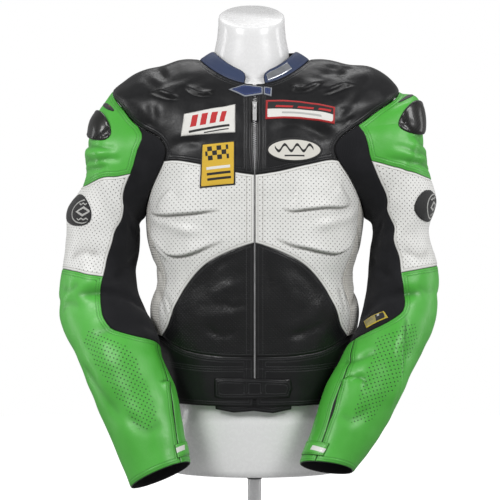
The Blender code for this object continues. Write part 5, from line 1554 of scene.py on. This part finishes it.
def disc(paint, wide, tall, soft=0.03):
    u, v = paint.uv()
    a, b = u / wide, v / tall
    return 1 - paint.step((a * a + b * b).root(), 1 - soft, 1 + soft)


def checks(paint, size):  # a chequered field
    u, v = paint.uv()
    a, b = (paint.step((way / (2 * size)).fraction(), 0.49, 0.51) for way in (u, v))
    return a + b - a * b * 2


def wave(paint, level, high, long, half):  # a waving line of even width
    u, v = paint.uv()
    off = abs(v - paint.maths("SINE", u / long * math.pi) * high - level)
    return 1 - paint.step(off, half - 0.0002, half + 0.0002)


def lozenge(paint, wide, tall):
    u, v = paint.uv()
    return 1 - paint.step(abs(u) / wide + abs(v) / tall, 0.98, 1.02)


def patchFinish(name, field, border, borderWide, marks):
    # embroidered cloth: a field, marks laid over it and a thick sewn border
    paint = Paint(name, Sheen_Weight=0.15)
    u, v = paint.uv()
    edge, along = paint.attribute("edge"), paint.attribute("along")
    ribs = paint.pleats(u + v * 0.5, 0.0008)
    cord = paint.pleats(along, 0.0009)
    cloudy = paint.noise(60.0)
    tone = paint.mix(ribs * 0.35 + cloudy * 0.2, field, shadeOf(field, 0.72))
    raised = ribs * 0.00006
    for colour, mark in marks:
        mask = mark(paint)
        tone = paint.mix(mask, tone, paint.mix(ribs * 0.3, colour, shadeOf(colour, 0.65)))
        raised = raised + mask * 0.00025
    rim = 1 - paint.step(edge, borderWide - 0.0002, borderWide + 0.0002)
    tone = paint.mix(rim, tone, paint.mix(cord * 0.45, border, shadeOf(border, 0.5)))
    return paint.done(tone, ribs * 0.1 + 0.68, raised + rim * cord * 0.00018 + rim * 0.0002)


black, white = (0.010, 0.010, 0.011, 1), (0.80, 0.79, 0.75, 1)
red, yellow, silver = (0.52, 0.020, 0.022, 1), (0.74, 0.47, 0.035, 1), (0.46, 0.46, 0.44, 1)

def marked(shape, *sizes, **more):
    return lambda paint: shape(paint, *sizes, **more)


def within(*shapes):  # where all the shapes lie over each other
    return lambda paint: math.prod([shape(paint) for shape in shapes[1:]], start=shapes[0](paint))


def hoop(shape, outer, inner):  # a shape less a smaller one about the same middle
    return lambda paint: shape(paint, *outer) * (1 - shape(paint, *inner))


darkCloth, inked = (0.007, 0.007, 0.0075, 1), (0.12, 0.11, 0.08, 1)
waveBar = marked(bar, -0.012, 0.012, -0.02, 0.02)
patchMarks = {
    "patch_white": (white, (0.55, 0.54, 0.52, 1), 0.0010, (
        *((red, marked(bar, low, high, -0.004, 0.015, slant=0.35))
          for low, high in ((-0.030, -0.020), (-0.014, -0.004), (0.002, 0.012), (0.018, 0.026))),
        (black, marked(bar, -0.034, 0.032, -0.0135, -0.0095)),
        (black, marked(bar, -0.010, 0.030, -0.0185, -0.0165)))),
    "patch_yellow": (yellow, black, 0.0022, (
        (black, within(marked(checks, 0.0075), marked(bar, -0.01875, 0.01875, 0.0075, 0.0300))),
        (white, marked(bar, -0.019, 0.019, -0.0075, -0.0030)),
        (black, marked(bar, -0.019, 0.019, -0.0165, -0.0125)),
        (black, marked(bar, -0.019, 0.019, -0.0250, -0.0210)))),
    "patch_red_bar": (white, red, 0.0030, (
        (black, marked(bar, -0.056, 0.056, 0.0080, 0.030, bow=1.5)),
        *((red, marked(bar, low, high, 0.0110, 0.0150, slant=0.4, bow=1.5))
          for low, high in ((-0.046, -0.018), (-0.010, 0.016), (0.024, 0.044))),
        (silver, marked(bar, -0.030, 0.034, -0.0010, 0.0025, bow=1.5)))),
    "patch_oval": ((0.72, 0.70, 0.64, 1), black, 0.0036, (
        (black, within(marked(wave, 0.0036, 0.0052, 0.0100, 0.0024), marked(bar, -0.031, 0.031, -0.02, 0.02))),
        (black, marked(bar, -0.016, 0.016, -0.0105, -0.0080)))),
    "emblem": (darkCloth, black, 0.0022, (
        (silver, hoop(disc, (0.029, 0.020), (0.0265, 0.0180))),
        (silver, hoop(lozenge, (0.017, 0.0085), (0.0105, 0.0045))),
        *((silver, within(marked(wave, level, 0.0011, 0.0050, 0.0011), waveBar)) for level in (0.0125, -0.0125)))),
    "cap_label": (darkCloth, (0.016, 0.015, 0.016, 1), 0.0012, (
        ((0.20, 0.030, 0.028, 1), marked(bar, -0.009, 0.009, -0.0012, 0.0012)),)),
    "label_yellow": ((0.34, 0.29, 0.10, 1), (0.66, 0.50, 0.03, 1), 0.0018, (
        (black, marked(bar, 0.009, 0.024, -0.02, 0.02)),
        *((inked, marked(bar, -0.016, right, low, high))
          for right, low, high in ((0.005, 0.0026, 0.0038), (0.003, -0.0006, 0.0006), (0.005, -0.0038, -0.0026))),
        (silver, marked(bar, 0.012, 0.016, -0.0022, 0.0022)))),
}
for name, (field, border, wide, marks) in patchMarks.items():
    finishes[name] = patchFinish(name + "Finish", field, border, wide, marks)


def pipedLeather(name, colour, piping):  # a strap with a corded edge
    paint = Paint(name, Coat_Weight=0.1)
    edge, along = paint.attribute("edge"), paint.attribute("along")
    fine = paint.noise(230.0, 4.0, 0.6)
    cord = paint.pleats(along, 0.0014)
    rim = 1 - paint.step(edge, 0.0017, 0.0021)
    row, furrow = paint.stitches(0.0040)
    tone = paint.mix(fine * 0.5, colour, shadeOf(colour, 0.6))
    tone = paint.mix(row * 0.8, tone, shadeOf(colour, 2.2))
    tone = paint.mix(rim, tone, paint.mix(cord * 0.35, piping, shadeOf(piping, 0.55)))
    return paint.done(tone, fine * 0.12 + 0.38,
                      fine * 0.0001 + rim * cord * 0.0002 - furrow * 0.0002 + row * 0.0002)


def stripedTab(name):  # green leather with a short white stripe
    paint = Paint(name, Coat_Weight=0.08)
    edge = paint.attribute("edge")
    fine = paint.noise(210.0, 4.0, 0.6)
    row, furrow = paint.stitches(0.0026)
    tone = paint.mix(paint.noise(9.0), (0.075, 0.40, 0.046, 1), (0.105, 0.50, 0.066, 1))
    tone = paint.mix(row * 0.8, tone, (0.045, 0.25, 0.03, 1))
    stripe = bar(paint, -0.020, 0.012, -0.0035, 0.0040, slant=-0.4)
    tone = paint.mix(stripe, tone, paint.mix(fine * 0.4, (0.78, 0.78, 0.75, 1), (0.60, 0.60, 0.57, 1)))
    tone = paint.mix(1 - paint.step(edge, 0.0001, 0.0010), tone, (0.02, 0.10, 0.014, 1))
    return paint.done(tone, fine * 0.12 + 0.38, fine * 0.0001 + row * 0.0002 - furrow * 0.0002 + stripe * 0.0002)


def wovenCarbon(name):  # glossy black shell over a two-by-two twill
    paint = Paint(name, Coat_Weight=0.45, Coat_Roughness=0.16, Specular_IOR_Level=0.25)
    u, v = paint.uv()
    a, b = u / 0.0026, v / 0.0026
    warp, weft = (a - b * 0.5).fraction(), (b + a * 0.5).fraction()
    over = paint.step(((a + b) * 0.5).fraction(), 0.45, 0.55)
    arch = abs(warp - 0.5) * 2 * over + abs(weft - 0.5) * 2 * (1 - over)
    tone = paint.mix(over * 0.75 + arch * 0.25, (0.005, 0.005, 0.0055, 1), (0.016, 0.0155, 0.014, 1))
    return paint.done(tone, over * 0.10 + 0.34, (1 - arch) * 0.00002)


def brushedMetal(name, colour, rough=0.30, metal=1.0):
    paint = Paint(name, Metallic=metal)
    grain = paint.noise(420.0, 3.0, 0.5, paint.node("Mapping", values={0: paint.place(), 3: (1.0, 0.25, 9.0)}))
    worn = paint.noise(60.0)
    tone = paint.mix(paint.step(worn, 0.35, 0.7), colour, shadeOf(colour, 0.72))
    return paint.done(paint.mix(grain * 0.25, tone, shadeOf(colour, 0.6)), grain * 0.14 + (rough - 0.06),
                      grain * 0.00004)


def zipTape(name):
    paint = Paint(name)
    ribs = paint.pleats(paint.uv()[1], 0.0012)
    return paint.done(paint.mix(ribs, (0.006, 0.006, 0.007, 1), (0.020, 0.020, 0.022, 1)), ribs * 0.1 + 0.78,
                      ribs * 0.00015)


finishes.update({
    "piped": pipedLeather("pipedBlueLeather", (0.021, 0.036, 0.115, 1), (0.30, 0.32, 0.36, 1)),
    "tab": stripedTab("stripedTab"),
    "carbon": wovenCarbon("wovenCarbon"),
    "plate": brushedMetal("brushedPlate", (0.52, 0.54, 0.58, 1), 0.34),
    "teeth": brushedMetal("zipMetal", (0.80, 0.80, 0.81, 1), 0.34, 0.55),
    "tape": zipTape("zipTape"),
})


def sewOn(name, pattern, finish, thick, on, side="", **more):
    clothShell("sewn_" + name + side, name + side, "laid", on, pattern, pattern.under(pattern.outlines[name]),
               finishes[finish], outer=0.0003 + thick, wall=thick, **more)


thinRoll, noRoll = (0.0005, 0.0009), (0, 1)
patchWays = {
    "patch_white": ((-0.0735, 0.6935), (-0.040, 0.6990)),
    "patch_yellow": ((-0.0585, 0.6250), (-0.040, 0.6270)),
    "patch_red_bar": ((0.0735, 0.7065), (0.120, 0.7020)),
    "patch_oval": ((0.063, 0.6475), (0.090, 0.6475)),
}
for name, (middle, onward) in patchWays.items():
    sewOn(name, body, name, 0.0012, "cloth_yoke_front_r" if middle[0] < 0 else "cloth_yoke_front_l",
          local=(frontFlat(*middle), frontFlat(*onward)), roll=thinRoll)
for name, middle in (("neck_tab", (-0.014, 0.745)), ("neck_tab_end", (0.021, 0.744))):
    onward = (middle[0] + 0.006, middle[1] + 0.0012)
    sewOn(name, body, "piped", 0.0016, "cloth_yoke_front_r", local=(frontFlat(*middle), frontFlat(*onward)),
          roll=(0.0009, 0.0010), rim=(0.0005, 0.0008))
sewOn("belt_strap", body, "black", 0.0018, "cloth_waistband_r")
clothShell("sewn_hem_flap", "hem_flap", "hung", "cloth_waistband_r", body, body.under(body.outlines["hem_flap"]),
           finishes["black"], outer=-0.0023, wall=0.0012)

heights = np.linspace(zip_["tapeTop"], zip_["end"], zip_["points"])
for side in ("r", "l"):
    edge = [frontFlat(sideSign(side) * zip_["tapeHalf"], z) for z in heights]
    middle = [frontFlat(0, z) for z in heights[::-1]]
    clothShell("tape_" + side, "zip_tape_" + side, "draped", "cloth_front_" + side, body, body.under(edge + middle),
               finishes["tape"], outer=-0.0020, wall=0.0007, roll=noRoll)


def domeOver(surface, outline, high):
    middle = surface(np.array([np.mean(outline, axis=0)]))[0][0]
    reach = norm(surface(np.array(outline))[0] - middle, axis=1).mean()

    def dome(points):
        away = norm(points - middle, axis=1) / reach
        return 0.0016 + high * np.sqrt(np.clip(1 - away**2.2, 0, 1))

    return dome


for side, (sleeve, pattern) in sleeves.items():
    upper, fore = sleeve.upper, sleeve.fore
    for name, thick, on in (("cap_label", 0.0010, "cloth_cap_"), ("emblem", 0.0014, "cloth_upper_sleeve_")):
        middle, inward, _ = sleeveOvals[side][name]
        local = (sleeve.flat(*middle), sleeve.flat(*np.add(middle, inward)))
        if side == "r":
            local = (local[0], 2 * local[0] - local[1])
        sewOn(name, pattern, name, thick, on + side, "_" + side, ruler=upper, local=local, roll=thinRoll)
    outline = pattern.outlines["cap_cup"]
    cup = shell("cup_" + side, pattern, pattern.under(outline), finishes["carbon"], fine=3, ruler=upper,
                outer=domeOver(sleeve.surface, outline, 0.0075), roll=(0.0010, 0.0008), rim=(0.0009, 0.0016))
    finishPiece(cup, "cap_cup_" + side)
    corners = cuffTabs[side]
    middle = tuple(np.mean(corners, axis=0))
    onward = (middle[0] + 10, middle[1] + (corners[1][1] - corners[0][1]) * 10 / (corners[1][0] - corners[0][0]))
    sewOn("cuff_tab", pattern, "tab", 0.0020, "cloth_forearm_inner_" + side, "_" + side, ruler=fore,
          local=(sleeve.flat(*middle), sleeve.flat(*onward)), roll=(0.0008, 0.0010))
    strip = pattern.panel([sleeve.flat(*sleeveSeams[side]["cuffZip"][2])])
    finishPiece(shell("cuffZip_" + side, pattern, strip, finishes["tape"], outer=-0.0008, ruler=fore, roll=noRoll),
                "cuff_zip_" + side)
    ring = [n for n, middle in enumerate(pattern.middles) if middle[1] > sleeve.long - cuffLining]
    clothShell("lining_" + side, "cuff_lining_" + side, "draped", "cloth_forearm_front_" + side, pattern, ring,
               finishes["lining"], outer=-0.0021, wall=0.0008, ruler=fore, roll=noRoll)
    if side == "l":
        sewOn("label_yellow", pattern, "label_yellow", 0.0009, "cloth_stretch_panel_l", ruler=fore,
              local=(sleeve.flat(128, 8.73), sleeve.flat(112, 8.60)), roll=thinRoll)
plate = shell("plate", collar, collar.under(collar.outlines["collar_plate"]), finishes["plate"], outer=0.0016,
              wall=0.0012, roll=(0.0006, 0.0008), fine=3)
finishPiece(plate, "collar_plate")
print("sewn on:", len(made), "pieces")


def choose(*pieces):  # nothing else stays selected, and the last is the active one
    for obj in list(bpy.context.selected_objects):
        obj.select_set(False)
    for piece in pieces:
        piece.select_set(True)
        bpy.context.view_layer.objects.active = piece


def pick(piece, wanted):  # into edit mode with the wanted faces selected, by their middle and normal
    if bpy.context.mode != "OBJECT":
        bpy.ops.object.mode_set(mode="OBJECT")
    choose(piece)
    bpy.context.tool_settings.mesh_select_mode = (False, False, True)
    chosen = [wanted(face.center, face.normal) for face in piece.data.polygons]
    piece.data.vertices.foreach_set("select", [False] * len(piece.data.vertices))
    piece.data.edges.foreach_set("select", [False] * len(piece.data.edges))
    piece.data.polygons.foreach_set("select", chosen)
    bpy.ops.object.mode_set(mode="EDIT")


def bevel(piece, wide, segments, angle=None):  # out of edit mode, then the edges sharper than the angle are rounded
    if bpy.context.mode != "OBJECT":
        bpy.ops.object.mode_set(mode="OBJECT")
    added = piece.modifiers.new("bevel", "BEVEL")
    added.width, added.segments, added.limit_method = wide, segments, "ANGLE" if angle else "NONE"
    if angle:
        added.angle_limit = math.radians(angle)
    bpy.ops.object.modifier_apply(modifier=added.name)


def settle(piece, place=Matrix.Identity(4)):  # the place goes into the mesh
    piece.data.transform(place @ piece.matrix_basis)
    piece.matrix_basis.identity()
    piece.data.update()


def newCube(scale, location=(0, 0, 0)):
    choose()
    bpy.ops.mesh.primitive_cube_add(size=1, scale=scale, location=location)
    bpy.ops.object.transform_apply(location=True, rotation=False, scale=True)
    return bpy.context.object


def newPiece(name, finish):
    piece = bpy.context.object
    piece.name = piece.data.name = name
    piece.data.materials.append(finish)
    made[name] = piece
    return piece


def smoothEdges(piece, angle=40):
    choose(piece)
    bpy.ops.object.shade_smooth_by_angle(angle=math.radians(angle))


def zipPlace(z, out=0.0):  # a frame on the zip's middle line: across, up, out
    flat = np.array([frontFlat(0, z), frontFlat(0, z - 0.003)])
    here, below = bodySurface(flat)[0]
    up = (here - below) / norm(here - below)
    outward = np.cross([1.0, 0, 0], up)
    return Matrix([[1.0, up[0], outward[0], here[0] + outward[0] * out],
                   [0.0, up[1], outward[1], here[1] + outward[1] * out],
                   [0.0, up[2], outward[2], here[2] + outward[2] * out],
                   [0, 0, 0, 1]])


tooth = {"long": 0.0036, "tall": 0.0015, "thick": 0.0017, "pitch": 0.0031, "lap": 0.0006, "under": 0.0024}


def zipTeeth():  # one tooth, copied down both sides and turned by turns
    newCube((tooth["long"], tooth["tall"], tooth["thick"]))
    first = newPiece("zipTeeth", finishes["teeth"])
    pick(first, lambda middle, normal: normal.x < -0.9)
    bpy.ops.transform.resize(value=(1, 0.62, 0.72))
    bevel(first, 0.00022, 1)
    settle(first)
    heights = np.arange(zip_["top"] - 0.002, zip_["end"] + 0.002, -tooth["pitch"])
    copies = []
    for z in heights:
        place = zipPlace(z, -tooth["under"])
        for way in (-1, 1):
            drop = tooth["pitch"] / 2 if way < 0 else 0
            shift = Matrix.Translation((way * (tooth["long"] / 2 - tooth["lap"]), -drop, 0))
            turn = Matrix.Rotation(math.pi, 4, "Z") if way < 0 else Matrix.Identity(4)
            copies.append(show("tooth", first.data.copy()))
            copies[-1].data.transform(place @ shift @ turn)
    first.data.transform(zipPlace(zip_["top"] + 0.0012, -tooth["under"]))
    choose(*copies, first)
    bpy.ops.object.join()
    finishPiece(first, "zip_chain")


# The arch that the pull hangs on: a first leg, a span over the pull's eye and a second leg.
arch = {"wide": 0.0013, "deep": 0.0010, "leg": 0.0026, "foot": 0.0008, "span": 0.0048, "second": 0.0015}
slider = {"place": 0.7195, "wide": 0.0075, "tall": 0.0130, "thick": 0.0028, "gap": 0.0003}
pull = {"long": 0.0260, "wide": 0.0062, "thick": 0.0012, "eye": 0.0050, "side": 0.0015, "neck": 0.0035}


def zipSlider():
    size = slider["wide"], slider["tall"], slider["thick"]
    newCube(size)
    block = newPiece("zipSlider", finishes["teeth"])
    pick(block, lambda middle, normal: normal.y < -0.9)
    bpy.ops.transform.resize(value=(0.70, 1, 1))
    pick(block, lambda middle, normal: normal.z > 0.9)
    bpy.ops.mesh.inset(thickness=0.0011)
    bpy.ops.transform.translate(value=(0, 0, -0.0004))
    bevel(block, 0.0005, 3, 35)
    pivotY, top = -size[1] * 0.2, size[2] / 2
    leg, reach = arch["leg"], pivotY + arch["second"]
    bridge = newCube((arch["wide"], arch["deep"], leg), (0, pivotY - leg, top + arch["foot"]))
    pick(bridge, lambda middle, normal: normal.z > 0.9)
    bpy.ops.mesh.extrude_region_move(TRANSFORM_OT_translate={"value": (0, 0.0006, 0.0010)})
    pick(bridge, lambda middle, normal: normal.y > 0.3 and middle.z > top + 0.0021)
    bpy.ops.mesh.extrude_region_move(TRANSFORM_OT_translate={"value": (0, arch["span"], 0)})
    pick(bridge, lambda middle, normal: True)
    bpy.ops.mesh.bisect(plane_co=(0, reach, 0), plane_no=(0, 1, 0))
    pick(bridge, lambda middle, normal: normal.z < -0.9 and middle.z > top + 0.001 and middle.y > reach)
    bpy.ops.mesh.extrude_region_move(TRANSFORM_OT_translate={"value": (0, 0, -leg)})
    bevel(bridge, 0.00025, 2, 35)
    choose(bridge, block)
    bpy.ops.object.join()
    settle(block, zipPlace(slider["place"], slider["gap"] + size[2] / 2))
    smoothEdges(block)
    finishPiece(block, "zip_slider")


def zipPull():
    newCube((pull["wide"], pull["long"], pull["thick"]), (0, pull["thick"] / 2 - pull["long"] / 2, 0))
    piece = newPiece("zipPull", finishes["teeth"])
    planes = [(0, -pull["thick"] / 2, 0), (0, -pull["eye"], 0), (0, -pull["eye"] - pull["neck"], 0),
            (-pull["side"], 0, 0), (pull["side"], 0, 0)]
    for place in planes:
        pick(piece, lambda middle, normal: True)
        bpy.ops.mesh.bisect(plane_co=place, plane_no=(1, 0, 0) if place[0] else (0, 1, 0))

    def eye(middle, normal):
        inRow = -pull["eye"] < middle.y < -pull["thick"] / 2
        return abs(normal.z) > 0.9 and abs(middle.x) < pull["side"] and inRow

    pick(piece, eye)
    bpy.ops.mesh.delete(type="ONLY_FACE")
    bpy.context.tool_settings.mesh_select_mode = (False, True, False)
    bpy.ops.mesh.select_all(action="DESELECT")
    bpy.ops.mesh.select_non_manifold(extend=False)
    bpy.ops.mesh.bridge_edge_loops()
    # the head narrows to the eye, and the grip has a sunk middle
    pick(piece, lambda middle, normal: normal.y > 0.9 and middle.y > 0)
    bpy.ops.transform.resize(value=(0.80, 1, 1))
    pick(piece, lambda middle, normal: normal.z > 0.9 and middle.y < -pull["eye"] - 0.0036)
    bpy.ops.mesh.inset(thickness=0.0010)
    bpy.ops.transform.translate(value=(0, 0, -0.00035))
    pick(piece, lambda middle, normal: True)
    bpy.ops.mesh.normals_make_consistent(inside=False)
    bevel(piece, 0.00025, 2, 35)
    hang = slider["gap"] * 2 + slider["thick"] + pull["thick"] / 2
    settle(piece, zipPlace(slider["place"], hang) @ Matrix.Translation((0, -slider["tall"] * 0.2, 0)))
    smoothEdges(piece)
    finishPiece(piece, "zip_pull", body="zip_pull")


print("zip teeth")
zipTeeth()
zipSlider()
zipPull()


def glossyForm(name):  # moulded white shell, faintly clouded, with fine dust
    paint = Paint(name, Coat_Weight=0.35, Coat_Roughness=0.08, Specular_IOR_Level=0.5)
    cloudy, fine = paint.noise(3.5, 4.0, 0.5), paint.noise(160.0, 3.0, 0.6)
    dust = paint.step(paint.noise(700.0, 2.0, 0.5), 0.72, 0.84)
    tone = paint.mix(paint.step(cloudy, 0.3, 0.7), (0.78, 0.78, 0.785, 1), (0.83, 0.83, 0.83, 1))
    return paint.done(paint.mix(dust * 0.25, tone, (0.66, 0.65, 0.63, 1)), paint.step(fine, 0.3, 0.8) * 0.08 + 0.24,
                      fine * 0.00002 + cloudy * 0.0003)


def hardBlack(name):
    paint = Paint(name)
    grain = paint.noise(520.0, 3.0, 0.6)
    worn = paint.noise(45.0)
    tone = paint.mix(paint.step(worn, 0.4, 0.8) * 0.6, (0.008, 0.008, 0.009, 1), (0.022, 0.022, 0.023, 1))
    return paint.done(tone, grain * 0.15 + 0.34, grain * 0.00006)


finishes["form"] = glossyForm("mouldedForm")
finishes["hardBlack"] = hardBlack("hardBlack")

# How far the form stays below the cloth: everywhere, away from the shoulders, at the waist and at the neck.
formEase = {"under": 0.0042, "away": 0.0036, "waist": 0.006, "collar": 0.0026, "foot": 0.121,
            "shoulder": 0.74, "tip": 0.178, "blend": 0.03, "smallest": 0.6, "fall": 0.3}
# Rings of the form above the neckline and below the hem: x, y, z, tilt, half width, half depth.
neckRings = (
    (-0.005, 0.004, 0.787, 0.018, 0.0630, 0.0530), (-0.005, 0.005, 0.815, 0.015, 0.0622, 0.0550),
    (-0.005, 0.006, 0.840, 0.018, 0.0572, 0.0550), (-0.005, 0.006, 0.860, 0.023, 0.0553, 0.0550),
    (-0.005, 0.006, 0.8725, 0.025, 0.0550, 0.0550), (-0.005, 0.006, 0.8758, 0.025, 0.0540, 0.0540),
    (-0.005, 0.006, 0.8770, 0.025, 0.0515, 0.0515),
)
hipRings = (
    (0, 0, 0.205, 0, 0.138, 0.098), (0, 0, 0.165, 0, 0.138, 0.098), (0, 0, 0.133, 0, 0.140, 0.099),
    (0, 0, 0.1245, 0, 0.1385, 0.0975), (0, 0, 0.1215, 0, 0.1355, 0.0945), (0, 0, 0.121, 0, 0.1320, 0.0910),
)


def dressForm():
    rows = body.flat[body.faces][:, :, 1].mean(axis=1)
    used, faces = np.unique(body.faces[(rows > 0) & (rows < topLevel)], return_inverse=True)
    flat, faces, _ = refine(body.flat[used], faces.reshape(-1, 3), np.zeros((0, 2), int), 1)
    space, ways, lift = bodySurface(flat)
    first, _, _, joined, lone = welded(space, faces)
    space, ways, lift, flat = space[first], ways[first], lift[first], flat[first]
    edges = sidesOf(joined)
    calm = np.minimum(lift, 0)  # the deepest fold near each point, so that the form stays smooth below
    for _ in range(3):
        lowest = calm.copy()
        np.minimum.at(lowest, edges[:, 0], calm[edges[:, 1]])
        np.minimum.at(lowest, edges[:, 1], calm[edges[:, 0]])
        calm = lowest
    for _ in range(8):
        total, near = calm.copy(), np.ones(len(calm))
        np.add.at(total, edges[:, 0], calm[edges[:, 1]])
        np.add.at(near, edges[:, 0], 1)
        calm = total / near
    height, outward = space[:, 2], np.abs(space[:, 0])
    ease, blend = formEase, formEase["blend"]
    shoulder = np.clip((height - ease["shoulder"]) / blend, 0, 1) * np.clip((ease["tip"] - outward) / blend, 0, 1)
    waist = np.clip((ease["smallest"] - height) / ease["fall"], 0, 1)
    under = ease["under"] + (1 - shoulder) * (ease["away"] + ease["waist"] * waist)
    neck = flat[:, 1] > topLevel - 1e-6
    deep = lift - calm + under
    deep[neck] = formEase["collar"] + lift[neck]
    points = (space - ways * deep[:, None]).tolist()
    rims, faces = dict(lone.tolist()), joined.tolist()
    for choose, rings in ((min, hipRings), (max, neckRings)):
        stackRings(points, faces, rimLoop(rims, choose(rims, key=lambda i: points[i][2])), rings)
    piece = addMesh("dressForm", points, faces, finishes["form"])
    smoothEdges(piece, 50)
    finishPiece(piece, "dress_form")


def rimLoop(rims, start):
    loop, following = [start], rims[start]
    while following != start:
        loop.append(following)
        following = rims[following]
    return loop


def stackRings(points, faces, loop, rings, blend=4):  # rings that go on from an open loop, closed flat at the last
    turns = [math.atan2(points[i][0], -points[i][1]) for i in loop]
    base = [points[i] for i in loop]

    def ringPoint(ring, turn):
        x, y, z, tilt, half, deep = ring
        return np.array([x + half * math.sin(turn), y - deep * math.cos(turn), z - tilt * math.cos(turn)])

    rows = [[np.array(p) * (1 - t) + ringPoint(rings[0], turn) * t for p, turn in zip(base, turns)]
            for t in np.linspace(0, 1, blend + 1)[1:-1]]
    rows += [[ringPoint(ring, turn) for turn in turns] for ring in rings]
    count = len(loop)
    for row in rows:
        first = len(points)
        points.extend([list(map(float, p)) for p in row])
        for i in range(count):
            k = (i + 1) % count
            faces.append((loop[k], loop[i], first + i, first + k))
        loop = list(range(first, first + count))
    faces.append(tuple(reversed(loop)))


stand = {"base": 0.150, "thick": 0.008, "pole": 0.011, "socket": 0.0125, "tall": 0.012, "gap": 0.0003}


def turnedDisc(name, radius, low, high, finish, edge, vertices=96, ring=()):
    choose()
    bpy.ops.mesh.primitive_cylinder_add(vertices=vertices, radius=radius, depth=high - low,
                                        location=(0, 0, (low + high) / 2))
    piece = newPiece(name, finishes[finish])
    bpy.ops.object.transform_apply(location=True, rotation=False, scale=False)
    pick(piece, lambda middle, normal: normal.z > 0.9)
    for inward, down in ring:  # a step turned into the upper face
        bpy.ops.mesh.inset(thickness=inward)
        bpy.ops.transform.translate(value=(0, 0, down))
    bevel(piece, edge, 3, 50)
    settle(piece)
    smoothEdges(piece, 35)
    return piece


def standPieces():
    top = formEase["foot"] - stand["gap"]
    foot = top - stand["tall"]
    low, gap = stand["thick"], stand["gap"]
    base = turnedDisc("standBase", stand["base"], 0, low, "form", 0.0018, ring=((0.006, -0.0006), (0.118, 0.0)))
    pole = turnedDisc("standPole", stand["pole"], low + gap, foot - gap, "form", 0.0004, 48)
    socket = turnedDisc("standSocket", stand["socket"], foot, top, "hardBlack", 0.0006, 48)
    for piece, node in ((base, "stand_base"), (pole, "stand_pole"), (socket, "stand_socket")):
        finishPiece(piece, node)


print("form and stand")
dressForm()
standPieces()


lampsAim = (0, 0, 0.52)


def studio():
    world = bpy.data.worlds.new("studio")
    bpy.context.scene.world = world
    world.use_nodes = True
    tree = world.node_tree
    back, bright = tree.nodes["Background"], tree.nodes.new("ShaderNodeBackground")
    for node, strength in ((back, 0.33), (bright, 1.0)):  # what lights the part, and what the camera sees
        node.inputs[0].default_value = (1, 1, 1, 1)
        node.inputs[1].default_value = strength
    path = tree.nodes.new("ShaderNodeLightPath")
    mixed = tree.nodes.new("ShaderNodeMixShader")
    tree.links.new(path.outputs["Is Camera Ray"], mixed.inputs[0])
    tree.links.new(back.outputs[0], mixed.inputs[1])
    tree.links.new(bright.outputs[0], mixed.inputs[2])
    tree.links.new(mixed.outputs[0], tree.nodes["World Output"].inputs[0])
    lamps = {
        "keyLeft": ((-1.6, -1.9, 1.9), (0.9, 0.9), 38),
        "keyRight": ((1.6, -1.7, 1.8), (0.9, 0.9), 33),
        "topBack": ((0.0, 0.9, 2.4), (1.4, 0.6), 10),
        "sideLeft": ((-2.2, 0.3, 0.7), (0.5, 1.5), 9),
        "sideRight": ((2.2, 0.3, 0.7), (0.5, 1.5), 9),
    }
    for name, (place, (wide, tall), power) in lamps.items():
        data = bpy.data.lights.new(name, "AREA")
        data.shape = "RECTANGLE"
        data.size, data.size_y, data.energy = wide, tall, power
        lamp = show(name, data)
        lamp.location = place
        lamp.rotation_euler = (Vector(lampsAim) - Vector(place)).to_track_quat("-Z", "Y").to_euler()
    bpy.context.scene.view_settings.view_transform = "Standard"


def addFloor():
    choose()
    bpy.ops.mesh.primitive_circle_add(vertices=96, radius=2.4, fill_type="NGON", location=(0, 0, 0))
    floor = bpy.context.object
    floor.name = "floor"
    paint = Paint("paleFloor", Emission_Color=(1, 1, 1, 1), Emission_Strength=0.60)
    cloudy = paint.noise(2.0)
    paint.give("Base Color", paint.mix(cloudy, (0.88, 0.88, 0.88, 1), (0.93, 0.93, 0.93, 1)))
    paint.give("Roughness", cloudy * 0.1 + 0.5)
    tree = paint.material.node_tree  # white to the eye, and dim to what stands on it
    path, dim, mixed = (tree.nodes.new("ShaderNode" + kind) for kind in ("LightPath", "BsdfDiffuse", "MixShader"))
    dim.inputs[0].default_value = (0.34, 0.34, 0.34, 1)
    ends = tree.nodes["Material Output"].inputs[0]
    tree.links.new(ends.links[0].from_socket, mixed.inputs[2])
    tree.links.new(path.outputs["Is Camera Ray"], mixed.inputs[0])
    tree.links.new(dim.outputs[0], mixed.inputs[1])
    tree.links.new(mixed.outputs[0], ends)
    floor.data.materials.append(paint.material)


studio()
addFloor()
